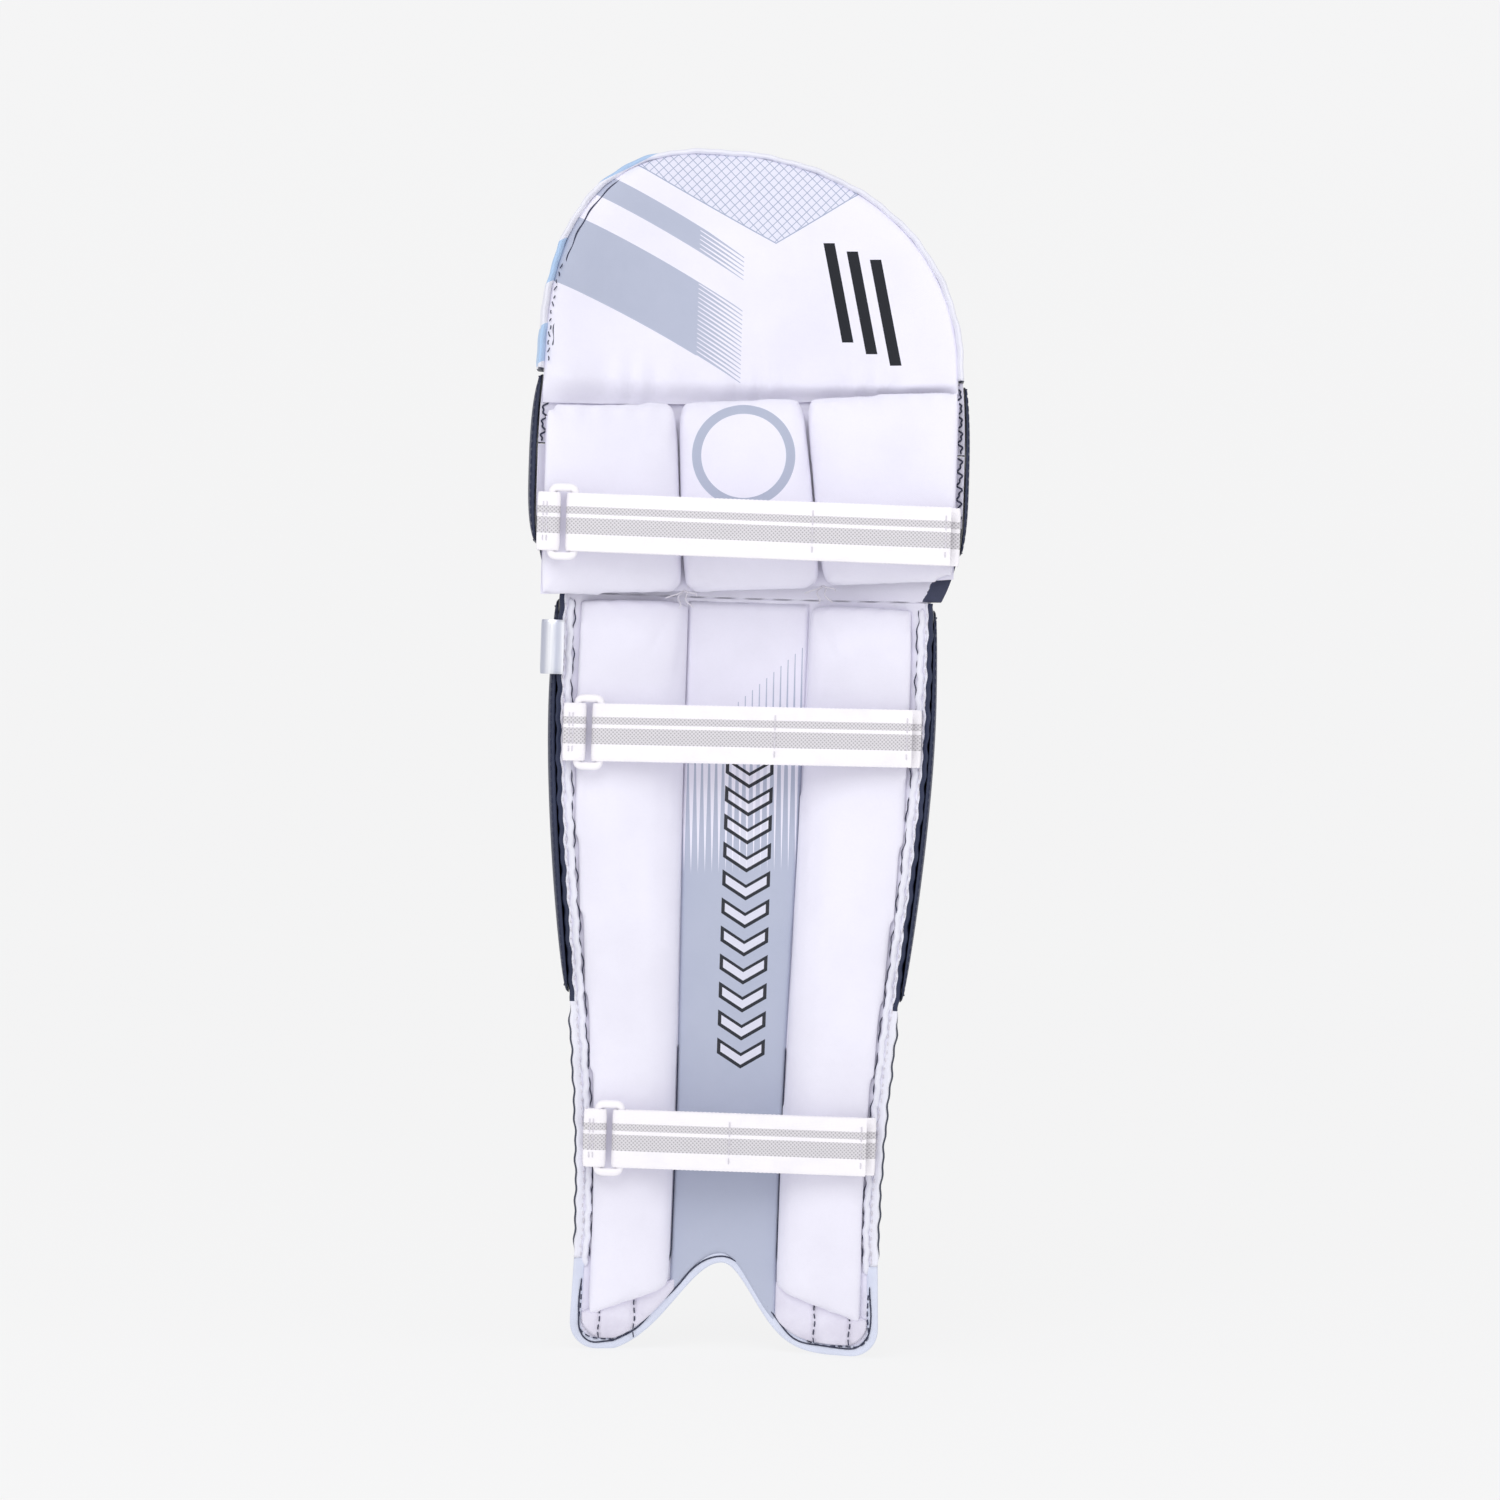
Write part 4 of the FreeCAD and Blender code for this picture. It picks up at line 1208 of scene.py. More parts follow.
def patch(name, low, high, tip_up, material, height):
    """Hook or loop patch: a slab whose pile side is a field of small tufts of uneven height."""
    rows, columns = 54, 110
    s, t = np.linspace(0, 1, columns)[None, :], np.linspace(0, 1, rows)[:, None]
    inside = np.minimum(np.minimum(s, 1 - s) * 40, 1) * np.minimum(np.minimum(t, 1 - t) * 24, 1)
    pile = height * inside * (0.35 + 0.65 * rng.random((rows, columns)))
    x = low.x + (high.x - low.x) * s
    z = low.z + (high.z - low.z) * t
    base, tips = (low.y, high.y) if tip_up else (high.y, low.y)
    sign = 1.0 if tip_up else -1.0
    flat = np.full((rows, columns), base)
    surface = tips - sign * (height - pile)
    return shell(name, stack(x, flat, z), stack(x, surface, z), [material])


def buckle_frame(strap, body, lean):
    """The buckle: a rounded frame with two bars, one moulding carried round a rounded rectangle,
    fuller on the rails than on the bars."""
    low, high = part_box(f"{strap}_buckle")
    bar = BUCKLE_BAR
    half_x, half_z = 0.5 * (high.x - low.x) - bar, 0.5 * (high.z - low.z) - bar
    mid = 0.5 * (low + high)
    turn = np.linspace(0, 2 * math.pi, 161)[:-1]
    power = 0.40
    x = half_x * np.sign(np.cos(turn)) * np.abs(np.cos(turn)) ** power
    z = half_z * np.sign(np.sin(turn)) * np.abs(np.sin(turn)) ** power
    path, _ = along(np.stack([x, z], -1)[np.r_[0:160, 0]], count=181)
    path = path[:-1]
    step = np.roll(path, -1, axis=0) - np.roll(path, 1, axis=0)
    out = unit(np.stack([step[:, 1], -step[:, 0]], -1))
    ring = np.linspace(0, 2 * math.pi, 20, endpoint=False)
    wide = np.sign(np.cos(ring)) * np.abs(np.cos(ring)) ** 0.9
    deep = np.sign(np.sin(ring)) * np.abs(np.sin(ring)) ** 0.9
    rail = ease(np.abs(path[:, 1]), half_z - 0.003, half_z - 0.0005)
    reach = np.where(wide[None, :] > 0, (bar * (0.96 + 0.24 * rail))[:, None], 0.96 * bar)
    x = mid.x + path[:, None, 0] + out[:, None, 0] * reach * wide[None, :]
    z = mid.z + path[:, None, 1] + out[:, None, 1] * reach * wide[None, :] + lean * mid.x
    y = mid.y + bar * 0.98 * deep[None, :] * np.ones_like(x)
    frame_ring = loft(f"{strap}_buckle_frame", stack(x, y, z), [finishes["plastic"]], closed=True)
    place(frame_ring, body, [f"{strap}_buckle"])


def loosen(points, bar_x):
    """Widens a turn round a bar into the loose oval that folded webbing takes."""
    return np.stack([bar_x + (points[:, 0] - bar_x) * 1.7, points[:, 1]], -1)


def make_strap(strap, pad_body, lean):
    """One strap: keeper, buckle, band, free tongue and the patches that hold it."""
    clasp, tongue_body = f"{strap}_clasp", f"{strap}_tongue"
    low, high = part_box(f"{strap}_buckle")
    turn = STRAP_TURN
    left_bar, right_bar = low.x + BUCKLE_BAR, high.x - BUCKLE_BAR
    bar_y, middle = 0.5 * (low.y + high.y), 0.5 * (low.z + high.z)
    half, thick = WEB_HALF - WEB_CLEARANCE, WEB_THICK
    keeper_low, keeper_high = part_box(f"{strap}_keeper")
    left, anchor = keeper_low.x + 0.00075, keeper_high.y
    corner = bend_arc(left + 0.0012, bar_y - turn + 0.0012, 0.0012, 180, 270, 8)
    keeper_path = np.concatenate([
        [[left, anchor]], corner, loosen(bend_arc(left_bar, bar_y, turn, -90, 90), left_bar),
        [[left + 0.0012, bar_y + turn]],
    ])
    keeper = ribbon(f"{strap}_keeper_web", keeper_path, middle, half, thick, finishes["webbing"], lean=lean)
    place(keeper, pad_body, [f"{strap}_keeper"])

    band_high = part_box(f"{strap}_strap_band")[1]
    right = band_high.x - 0.00075
    corner = bend_arc(right - 0.0012, bar_y + turn - 0.0012, 0.0012, 0, 90, 8)
    if band_high.y > bar_y + turn:
        corner = bend_arc(right - 0.0012, bar_y + turn + 0.0012, 0.0012, 0, -90, 8)
    band_path = np.concatenate([
        [[right, band_high.y]], corner, loosen(bend_arc(right_bar, bar_y, turn, 90, 181, 14), right_bar),
    ])
    band = ribbon(f"{strap}_band_web", band_path, middle, half, thick, finishes["webbing"], lean=lean)
    place(band, None, [f"{strap}_strap_band"])
    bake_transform(band)

    tongue_low, tongue_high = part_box(f"{strap}_strap_tongue")
    tip = tongue_high.x
    span = np.linspace(right_bar, tip, 120)
    share = (span - right_bar) / (tip - right_bar)
    bow = -0.0004 * np.sin(math.pi * share) * np.sin(share * 9.0)
    lift = -0.0012 * ease(share, 0.90, 1.0)
    top_run = np.stack([span[1:], (bar_y - turn) + bow[1:] + lift[1:]], -1)
    tongue_path = np.concatenate([loosen(bend_arc(right_bar, bar_y, turn, 179, 270, 14), right_bar), top_run])
    tongue = ribbon(f"{strap}_tongue_web", tongue_path, middle, half, thick, finishes["webbing"], lean=lean)
    place(tongue, None, [f"{strap}_strap_tongue", f"{strap}_strap_fold"])
    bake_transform(tongue)

    buckle_frame(strap, clasp, lean)
    loop_low, loop_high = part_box(f"{strap}_loop_patch")
    loop = patch(f"{strap}_loop_pile", loop_low, loop_high, False, finishes["loop"], 0.0005)
    place(loop, pad_body, [f"{strap}_loop_patch"])
    hook_low, hook_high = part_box(f"{strap}_hook_patch")
    hook = patch(f"{strap}_hook_pile", hook_low, hook_high, True, finishes["hook"], 0.0004)
    place(hook, tongue_body, [f"{strap}_hook_patch"])

    face = bar_y - turn - thick
    for name, body, places in (
        ("tongue", tongue_body, ((tip - 0.003, face - 0.0012, 0.0135), (tip - 0.082, face, 0.0135))),
        ("keeper", pad_body, ((left + 0.003, face, 0.0125), (left + 0.0052, face, 0.0125))),
    ):
        rows = [np.array([(x, y, middle - reach), (x, y, middle + reach)]) + (0, 0, lean * x)
                for x, y, reach in places]
        rows = [along(row, step=0.001)[0] for row in rows]
        sew(f"{strap}_{name}_stitches", rows, "white_thread", body)


def make_straps():
    """The three straps, each with the body that it is sewn to and its lean."""
    for strap, body, lean in (("knee", "middle_knee", -0.008), ("calf", "shin", 0.010),
                              ("ankle", "shin", -0.004)):
        make_strap(strap, body, lean)


# ---- Knee ------------------------------------------------------------------------------------------
ROLLS = ("lower", "middle", "upper")


def make_knee_rolls():
    """Three rolls across the knee, their backing webs, and gusset cloth across each fold."""
    for i, name in enumerate(ROLLS):
        z0 = KNEE_BASE + i * ROLL_PITCH + 0.0005
        z1 = z0 + ROLL_PITCH - 0.001
        body = f"{name}_knee"
        t = spaced(15, 0.4)[:, None]
        s = np.linspace(-1, 1, 81)[None, :]
        z = z0 + (z1 - z0) * t
        x = s * (knee_half(z) - 0.0004)
        web = shell(f"knee_web_{name}_cloth", lay(x, z, 0.0002), lay(x, z, BOARD),
                    [finishes["web_cloth"], finishes["navy"]], front_part=1, rim_part=1, sharp=50)
        place(web, body, [f"knee_web_{name}"])

        turn = np.linspace(0, 2 * math.pi, 40, endpoint=False)[None, :]
        share = spaced(111, 0.55)[:, None] * 2 - 1
        ends = 0.0022 if i == 0 else 0.0006
        mid, radius, ring_radius = 0.5 * (z0 + z1), 0.5 * (z1 - z0), WRAP + BOARD + 0.014
        z = mid + radius * np.sin(turn)
        reach = knee_half(z) - ends
        x = share * reach
        dome = 0.016
        inward = np.clip((np.abs(x) - (reach - dome)) / dome, 0, 1)
        shrink = np.sqrt(np.clip(1 - inward**2, 0.0, 1)) * 0.9 + 0.1
        core = WRAP + BOARD + 0.002
        ripple = 1 + 0.012 * np.sin(x * 95.0 + 2.1 * i) * np.cos(turn)
        deep = np.maximum(ring_radius + radius * np.cos(turn) * ripple, core - 0.0019)
        deep = core + (deep - core) * shrink
        z = mid + (z - mid) * (0.35 + 0.65 * shrink)
        roll = loft(f"knee_roll_{name}_cushion", stack(x, np.sqrt(deep**2 - x**2) - WRAP, z),
                    [finishes["navy"]])
        place(roll, body, [f"knee_roll_{name}"])

    for i in range(4):
        fold = KNEE_BASE + i * ROLL_PITCH
        t = np.linspace(0, 1, 13)[:, None]
        s = np.linspace(-1, 1, 81)[None, :]
        z = fold + (t - 0.5) * 0.020
        half = np.where(z < KNEE_BASE, shin_half(z), knee_half(np.clip(z, KNEE_BASE, KNEE_TOP)))
        x = s * (np.minimum(half, knee_half(KNEE_BASE) if i == 0 else 1.0) - 0.006)
        lift = (0.0012 if i == 0 else 0.0062) + 0.0010 * np.sin(math.pi * t) * np.sin(s * 40.0)
        gusset = shell(f"knee_gusset_{i + 1}", lay(x, z, lift), lay(x, z, lift + 0.0007),
                       [finishes["cloth"], finishes["navy"]], front_part=1)
        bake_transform(gusset)


def cradle_shape():
    """The circle of the cradle cushions' backs."""
    set_back = 0.0095
    far = 0.124
    return back_arc(0.0, -set_back - 0.024, far, leg_y(far) - set_back - 0.008), set_back


def make_cradle():
    """Three cushions side by side behind the knee, on a quilted panel."""
    back_face, set_back = cradle_shape()
    bottom, top, rise_x, reach = 0.4602, 0.576, 0.066, 0.124
    s = np.linspace(-1, 1, 61)[None, :]
    t = spaced(31, 0.4)[:, None]
    x = s * (reach - 0.001)
    z = bottom + 0.0015 + rise_x * x + (top - 0.0095 - bottom) * t
    panel = shell("cradle_backing", stack(x, leg_y(x) - set_back, z), stack(x, leg_y(x) - 0.0078, z),
                  [finishes["cloth"]], sharp=50)
    z0, z1 = 0.5025, 0.5415
    z = z0 + (z1 - z0) * t
    x = s * 0.1175
    spacer = shell("cradle_spacer", stack(x, leg_y(x) - 0.0080, z), stack(x, leg_y(x) - 0.0001, z),
                   [finishes["cloth"]], sharp=50)
    place(spacer, "middle_knee")
    place(panel, "middle_knee", ["cradle_panel"])

    tops = (-reach, -0.0455, 0.031, reach)
    bottoms = (-reach, -0.0385, 0.045, reach)
    for i, name in enumerate(("outer", "middle", "inner")):
        s = spaced(51, 0.7)[None, :]
        t = spaced(61, 0.7)[:, None]
        gap = 0.0003
        low = (bottoms[i] + gap) * (1 - t) + (tops[i] + gap) * t
        high = (bottoms[i + 1] - gap) * (1 - t) + (tops[i + 1] - gap) * t
        round_x = 0.0045 * (1 - swell(t, 6.0))
        x = low + round_x + (high - low - 2 * round_x) * s
        z_low, z_high = bottom + rise_x * x, top + rise_x * x
        z = z_low + (z_high - z_low) * t + 0.0035 * (1 - swell(s, 6.0)) * (1 - 2 * t)
        plump = swell(s, 6.5) * swell(t, 4.0)
        depth = (leg_y(x) - set_back) - back_face(x)
        back = stack(x, leg_y(x) - set_back - 0.0006 - depth * 0.82 * plump, z)
        front = stack(x, leg_y(x) - set_back - 0.0003, z)
        cloth = finishes["cradle_cloth"] if name == "middle" else finishes["cloth"]
        cell = shell(f"cradle_cell_{name}_cushion", back, front, [cloth])
        inflate(cell, lambda p: p[:, 1] > leg_y(p[:, 0]) - set_back - 0.0035)
        points = read_points(cell.data)
        points[:, 1] = np.minimum(points[:, 1], leg_y(points[:, 0]) - set_back - 0.0002)
        points[:, 1] = np.maximum(points[:, 1], back_face(points[:, 0]) - 0.0015)
        edge = points[:, 2] - (top + rise_x * points[:, 0])
        tuck = np.exp(-((edge / 0.009) ** 2)) * 0.0011 * np.sin(points[:, 0] * 430.0 + i)
        points[:, 1] += np.where(points[:, 1] < leg_y(points[:, 0]) - set_back - 0.003, tuck, 0)
        press_strap(points, "knee")
        write_points(cell.data, points)
        wear(cell, cloth)
        place(cell, "middle_knee", [f"cradle_cell_{name}"])

    ends = []
    for x in bottoms[1:3]:
        z = bottom + rise_x * x
        for k, (dx, dz) in enumerate(((-0.009, -0.006), (0.006, -0.011), (-0.003, -0.012), (0.010, -0.004))):
            share = np.linspace(0, 1, 14)
            curl = 0.0016 * np.sin(share * (5 + k) + k)
            px = x + dx * share + curl
            py = back_face(x) + 0.016 - 0.010 * share
            ends.append(np.stack([px, py, z + 0.002 + dz * share], -1))
    for k, path in enumerate(ends):
        tuft = tube(f"cradle_thread_end_{k + 1}", path, 0.00042, finishes["white_thread"])
        place(tuft, "middle_knee")


def make_knee_wings():
    """The stiff flaps over the ends of the rolls."""
    for name, side, thick in (("outer", -1, 0.0050), ("inner", 1, 0.0028)):
        side_plate(f"{name}_knee_flap", knee_half, side, 0.0006, thick, 0.484, KNEE_TOP - 0.002,
                   -0.048, 0.005, "middle_knee", f"{name}_knee_wing")


# ---- Top section -----------------------------------------------------------------------------------
def top_grid(rows, columns, inset, bottom):
    """X and Z over the top section: rows rise by a sine, so that they crowd at the crown."""
    up = np.sin(0.5 * math.pi * np.linspace(0, 1, rows))
    crown = TOP_BASE + (TOP_Z - inset - TOP_BASE) * up
    z = np.concatenate([np.linspace(bottom, TOP_BASE, 10)[:-1], crown])[:, None]
    left, right = top_side(z, -1, inset), top_side(z, 1, inset)
    return np.broadcast_arrays(left + (right - left) * spaced(columns, 0.4), z)


def make_top_section():
    """Lining, padded front and binding of the top section."""
    x, z = top_grid(80, 121, RIM, TOP_LINING_LOW)
    slope = ease(z, 0.600, 0.575)
    z = z + slope * 0.05 * x
    edge = np.minimum(x - top_side(z, -1, RIM), top_side(z, 1, RIM) - x)
    top_gap = (TOP_Z - RIM) - z
    rim = np.clip(np.minimum(edge, top_gap * 1.6) / 0.020, 0, 1)
    plump = np.sqrt(1 - (1 - rim) ** 2)
    low = ease(z, TOP_LINING_LOW + 0.05 * x, 0.5865)
    folds = 0.0011 * np.exp(-((z - 0.582) / 0.013) ** 2) * np.sin(x * 310.0 + 2.0 * np.sin(x * 90.0))
    lift = -0.0022 - 0.0062 * plump * low + folds
    lift = lift + 0.0009 * np.sin(x * 38.0 + 0.5) * np.sin(z * 47.0) * plump
    back = lay(x, z, lift)
    front = stack(x, leg_y(x, np.minimum(0.0028, lift + 0.0030 + 0.006 * low)), z)
    lining = shell("top_lining_cloth", back, front, [finishes["top_cloth"]], sharp=70)
    place(lining, None, ["top_lining"])
    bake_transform(lining)

    x, z = top_grid(80, 141, RIM, KNEE_TOP + 0.0004)
    edge = np.minimum(x - top_side(z, -1, RIM), top_side(z, 1, RIM) - x)
    rim = np.clip(np.minimum(edge, ((TOP_Z - RIM) - z) * 1.6) / 0.026, 0, 1)
    plump = np.sqrt(1 - (1 - rim) ** 2)
    floor = np.clip((z - KNEE_TOP) / 0.010, 0, 1)
    channels = sum(np.exp(-(((x - at) / 0.0032) ** 2)) for at in TOP_SEAM_X)
    height = 0.0165 + 0.0055 * plump * np.sqrt(1 - (1 - floor) ** 2) - 0.0042 * channels * plump * floor
    cover = shell("top_front_cover", lay(x, z, 0.0030), lay(x, z, height),
                  [finishes["navy"]], sharp=60)
    place(cover, "top_section", ["top_face", "top_foam"])
    line = np.linspace(KNEE_TOP + 0.012, 0.685, 90)
    rows = [lay(np.full(90, at), line, 0.0186) for at in TOP_SEAM_X]
    sew("top_front_stitches", rows, "navy_thread", "top_section")

    half = 0.5 * RIM
    z = TOP_BASE + (TOP_Z - half - TOP_BASE) * np.sin(np.linspace(0, 0.5 * math.pi, 160))
    left = np.stack([top_side(z, -1, half), z], -1)
    right = np.stack([top_side(z, 1, half), z], -1)[::-1]
    path, reach = along(np.concatenate([left, right[1:]]), step=0.0022)
    normal = outward(path, np.array([0.0, 0.62]))
    ripple = 0.0002 * np.sin(reach * 420.0) + 0.00025 * np.sin(reach * 177.0)
    path = path + normal * ripple[:, None]
    section = tape_section(0.022, back=-0.0078, lip=0.0006)
    flare = 0.0012 * (path[:, 0] < 0) * (1 - ease(path[:, 1], 0.62, 0.67))
    tape = binding("top_binding_tape", path, normal, section, [finishes["top_binding"], finishes["navy"]],
                   navy_from=0.0060, flare=flare)
    place(tape, "top_section", ["top_binding"])


# ---- Sewing ----------------------------------------------------------------------------------------
def make_sewing():
    """Navy and white threads: round the toes, beside the piping, down the panel and at the knee."""
    inset = 0.0050
    edge, _ = along(toe_outline(), step=0.002)
    normal = -right_of(edge)
    normal *= np.sign(normal[len(normal) // 2, 1])
    reach = np.arange(len(edge)) * 0.002
    wave = 0.0005 * np.sin(reach * 190.0) + 0.0004 * np.sin(reach * 77.0)
    line = edge + normal * (inset - 0.00175 + wave)[:, None]
    rows = [lay(line[6:-6, 0], line[6:-6, 1], -0.0016)]
    lower = edge + normal * (inset - 0.0008 - wave)[:, None]
    for start, end in ((8, 44), (len(edge) - 46, len(edge) - 8)):
        rows.append(lay(lower[start:end, 0], lower[start:end, 1], -0.0017))
    for at in (-TOE_STITCH_X[1], -TOE_STITCH_X[0], TOE_STITCH_X[0], TOE_STITCH_X[1]):
        z = np.linspace(0.0065, 0.031, 30)
        rows.append(lay(np.full(30, at) + 0.0004 * np.sin(z * 400), z, -0.0038))
    sew("toe_stitches", rows, "navy_thread", "shin", slack=0.15)
    lay_thread("toe_seam_thread", rows[0], 0.0005, "shin")

    for name, side in (("outer", -1), ("inner", 1)):
        z = np.linspace(0.056, SHIN_TOP - 0.004, 400)
        wave = 0.0006 * np.sin(z * 240.0 + side) + 0.0004 * np.sin(z * 611.0)
        x = side * (shin_half(z) - 0.0092 + wave)
        lay_thread(f"{name}_piping_thread", lay(x, z, -0.0016), 0.0004, "shin")
        x = side * (shin_half(z) - 0.0041 + 0.5 * wave)
        sew(f"{name}_edge_stitches", [lay(x, z, -0.0013)], "white_thread", "shin", slack=0.5)
        z = np.linspace(0.040, 0.185, 120)
        lower = ease(z, 0.062, 0.040) * 0.004
        x = channel_middle(z) + side * (channel_half(z) + 0.0008 + lower)
        lay_thread(f"{name}_channel_thread", lay(x, z, -0.0021), 0.00042, "shin")

    for name, side, low, high, body in (("inner", 1, 0.5452, 0.5868, "upper_knee"),
                                        ("inner_low", 1, 0.5015, 0.5428, "middle_knee"),
                                        ("outer", -1, 0.5452, 0.5868, "upper_knee")):
        z = np.linspace(low, high, 260)
        wander = 0.0011 * np.sin(z * 760.0) + 0.0007 * np.sin(z * 1490.0)
        x = side * (knee_half(z) - 0.0029 + wander)
        lay_thread(f"knee_{name}_edge_thread", lay(x, z, -0.0003), 0.00055, body)

    reach = np.linspace(0, 1, 220)
    z = 0.5925 + 0.060 * reach
    x = top_side(z, -1) + 0.0026 + 0.0006 * np.sin(reach * 60)
    sew("top_edge_stitches", [lay(x, z, -0.0068)], "navy_thread", "top_section", slack=0.4)
    z = 0.602 + 0.108 * reach
    x = top_side(z, -1) + 0.0047 + 0.0003 * np.sin(reach * 47)
    lay_thread("top_inner_thread", lay(x, z, -0.0060), 0.00055, "top_section")


# ---- Steps -----------------------------------------------------------------------------------------
class LEGPAD_OT_stage(bpy.types.Operator):
    """Camera, ground, backdrop and soft lights"""

    bl_idname = "legpad.stage"
    bl_label = "Stage and light"

    def execute(self, context):
        make_stage()
        return {"FINISHED"}


class LEGPAD_OT_finishes(bpy.types.Operator):
    """The cloth, coated, webbing, plastic and thread finishes"""

    bl_idname = "legpad.finishes"
    bl_label = "Finishes"

    def execute(self, context):
        make_finishes()
        return {"FINISHED"}


class LEGPAD_OT_shin_cloth(bpy.types.Operator):
    """Shin lining, front cover, printed panel, toe pads and bindings"""

    bl_idname = "legpad.shin_cloth"
    bl_label = "Shin cloth and bindings"

    def execute(self, context):
        make_shin_cloth()
        make_bindings()
        return {"FINISHED"}


class LEGPAD_OT_bolsters(bpy.types.Operator):
    """The two long shin cushions"""

    bl_idname = "legpad.bolsters"
    bl_label = "Shin bolsters"

    def execute(self, context):
        make_bolsters()
        return {"FINISHED"}


class LEGPAD_OT_ribs(bpy.types.Operator):
    """The seven front ribs and their canes"""

    bl_idname = "legpad.ribs"
    bl_label = "Front ribs"

    def execute(self, context):
        make_ribs()
        return {"FINISHED"}


class LEGPAD_OT_sides(bpy.types.Operator):
    """Shin wings, knee wings and the silver tab"""

    bl_idname = "legpad.sides"
    bl_label = "Wings and tab"

    def execute(self, context):
        make_shin_sides()
        make_knee_wings()
        return {"FINISHED"}


class LEGPAD_OT_knee(bpy.types.Operator):
    """Knee rolls, their backing and the fold gussets"""

    bl_idname = "legpad.knee"
    bl_label = "Knee rolls"

    def execute(self, context):
        make_knee_rolls()
        return {"FINISHED"}


class LEGPAD_OT_cradle(bpy.types.Operator):
    """The three cushions of the knee cradle"""

    bl_idname = "legpad.cradle"
    bl_label = "Knee cradle"

    def execute(self, context):
        make_cradle()
        return {"FINISHED"}


class LEGPAD_OT_top(bpy.types.Operator):
    """Lining, front and binding of the top section"""

    bl_idname = "legpad.top"
    bl_label = "Top section"

    def execute(self, context):
        make_top_section()
        return {"FINISHED"}


class LEGPAD_OT_straps(bpy.types.Operator):
    """The three straps with their buckles, keepers and patches"""

    bl_idname = "legpad.straps"
    bl_label = "Straps and buckles"

    def execute(self, context):
        make_straps()
        return {"FINISHED"}


class LEGPAD_OT_sewing(bpy.types.Operator):
    """Stitches and loose threads"""

    bl_idname = "legpad.sewing"
    bl_label = "Sewing"

    def execute(self, context):
        make_sewing()
        return {"FINISHED"}


class LEGPAD_PT_panel(bpy.types.Panel):
    """Lists the steps that build the pad, with its sizes and colours"""

    bl_idname = "LEGPAD_PT_panel"
    bl_label = "Leg pad"
    bl_space_type = "VIEW_3D"
    bl_region_type = "UI"
    bl_category = "Leg pad"

    def draw(self, context):
        for step in STEPS:
            self.layout.operator(step.bl_idname)
        for group in (sizes(), colours()):
            for name in group.__annotations__:
                self.layout.prop(group, name)


# ---- Stage -----------------------------------------------------------------------------------------
VIEW_WIDTH, VIEW_DISTANCE, VIEW_ROLL = 0.9105, 3.0, math.radians(1.8)


def soft_light(name, place_at, aim, size, watts):
    """A square soft box that faces a point."""
    data = bpy.data.lights.new(name, "AREA")
    data.shape = "SQUARE"
    data.size = size
    data.energy = watts
    light = bpy.data.objects.new(name, data)
    light.location = place_at
    aim = np.array(aim) - np.array(place_at)
    light.rotation_mode = "QUATERNION"
    light.rotation_quaternion = Vector(aim).to_track_quat("-Z", "Y")
    bpy.context.scene.collection.objects.link(light)


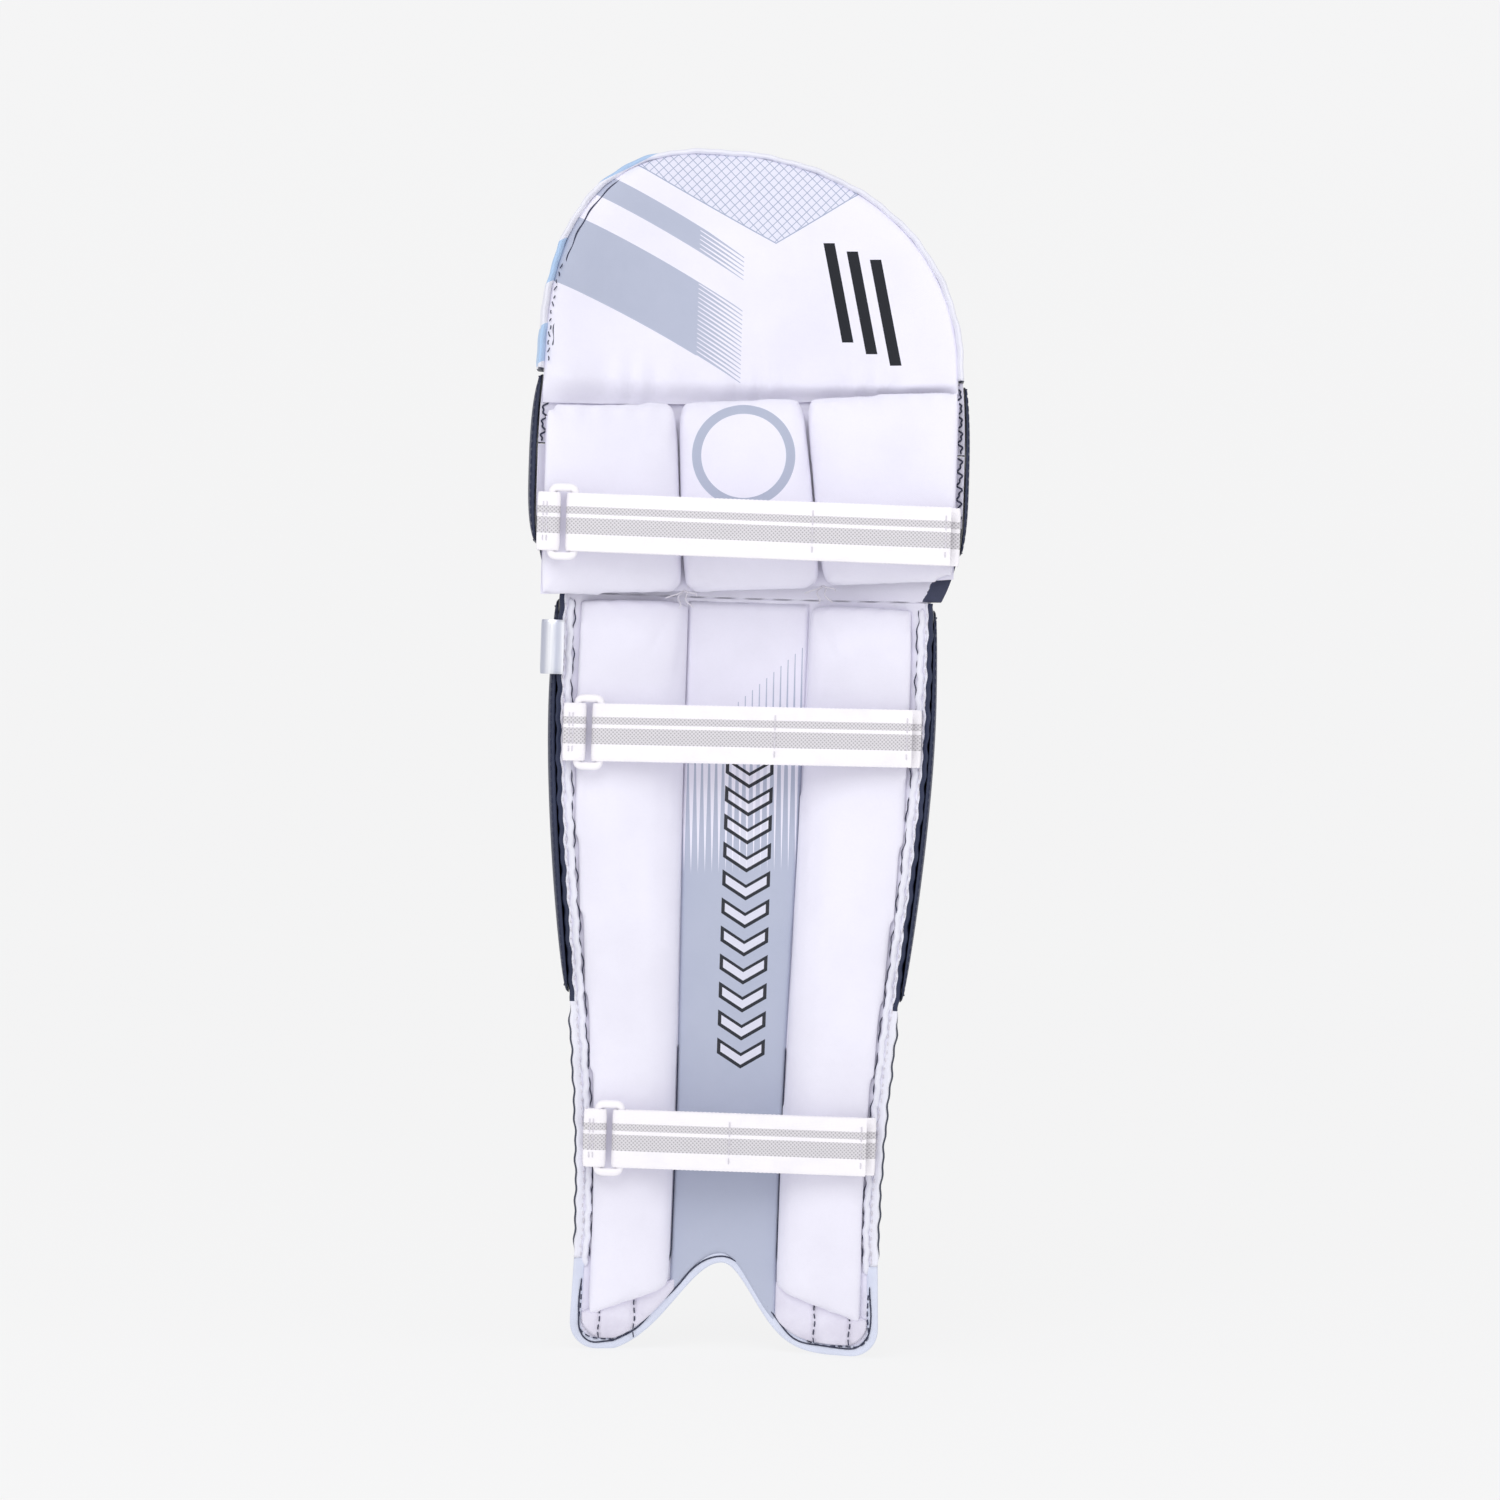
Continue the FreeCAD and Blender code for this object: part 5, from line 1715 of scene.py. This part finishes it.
def make_stage():
    """Camera square to the leg side, a pale ground that curves up into a backdrop, soft light."""
    scene = bpy.context.scene
    camera = bpy.data.objects.new("camera", bpy.data.cameras.new("camera"))
    camera.data.lens = camera.data.sensor_width * VIEW_DISTANCE / VIEW_WIDTH
    camera.data.clip_end = 60.0
    camera.location = (0.00486, -VIEW_DISTANCE, 0.36435)
    camera.rotation_euler = (0.5 * math.pi, -VIEW_ROLL, 0.0)
    scene.collection.objects.link(camera)
    scene.camera = camera

    turn = np.linspace(0, 0.5 * math.pi, 30)
    bend = 2.0
    profile = np.concatenate([
        [[-14.0, 0.0]],
        np.stack([6.0 + bend * np.sin(turn), bend * (1 - np.cos(turn))], -1),
        [[8.0, 12.0]],
    ])
    x = np.linspace(-14.0, 14.0, 3)
    points = np.stack([
        np.repeat(x[None], len(profile), 0),
        np.repeat(profile[:, :1], 3, 1),
        np.repeat(profile[:, 1:], 3, 1) - 0.0012,
    ], -1)
    faces = cells_of(np.arange(points.size // 3).reshape(len(profile), 3))
    mesh = bpy.data.meshes.new("studio_ground")
    mesh.from_pydata(points.reshape(-1, 3).tolist(), [], faces.tolist())
    new_object("studio_ground", mesh, [finishes["ground"]])

    world = bpy.data.worlds.new("studio")
    world.use_nodes = True
    tree = world.node_tree
    sky = tree.nodes["Background"]
    sky.inputs[0].default_value = (*srgb(241, 241, 242), 1.0)
    way = tree.nodes.new("ShaderNodeTexCoord")
    split = tree.nodes.new("ShaderNodeSeparateXYZ")
    fade = tree.nodes.new("ShaderNodeMapRange")
    fade.interpolation_type = "SMOOTHSTEP"
    for key, value in (("From Min", 0.10), ("From Max", 0.45), ("To Min", 1.02), ("To Max", 0.74)):
        fade.inputs[key].default_value = value
    tree.links.new(way.outputs["Generated"], split.inputs[0])
    tree.links.new(split.outputs[2], fade.inputs["Value"])
    tree.links.new(fade.outputs[0], sky.inputs[1])
    scene.world = world
    soft_light("key_light", (-0.5, -2.4, 1.9), (0.0, 0.0, 0.4), 1.6, 24.5)
    soft_light("fill_light", (0.9, -2.9, 0.5), (0.0, 0.0, 0.4), 2.0, 5.0)
    scene.view_settings.view_transform = "Standard"


STEPS = (
    LEGPAD_OT_finishes, LEGPAD_OT_stage, LEGPAD_OT_shin_cloth, LEGPAD_OT_bolsters, LEGPAD_OT_ribs,
    LEGPAD_OT_sides, LEGPAD_OT_knee, LEGPAD_OT_cradle, LEGPAD_OT_top, LEGPAD_OT_straps, LEGPAD_OT_sewing,
)
CLASSES = (LegPadSizes, LegPadColours) + STEPS + (LEGPAD_PT_panel,)


def register():
    """Adds the classes, and the sizes and colours to the scene."""
    for cls in CLASSES:
        bpy.utils.register_class(cls)
    bpy.types.Scene.leg_pad_sizes = bpy.props.PointerProperty(type=LegPadSizes)
    bpy.types.Scene.leg_pad_colours = bpy.props.PointerProperty(type=LegPadColours)


def unregister():
    """Removes what register added."""
    del bpy.types.Scene.leg_pad_colours
    del bpy.types.Scene.leg_pad_sizes
    for cls in reversed(CLASSES):
        bpy.utils.unregister_class(cls)


def main():
    """Builds everything in order."""
    register()
    for step in STEPS:
        group, name = step.bl_idname.split(".")
        getattr(getattr(bpy.ops, group), name)()


if __name__ == "__main__":
    main()
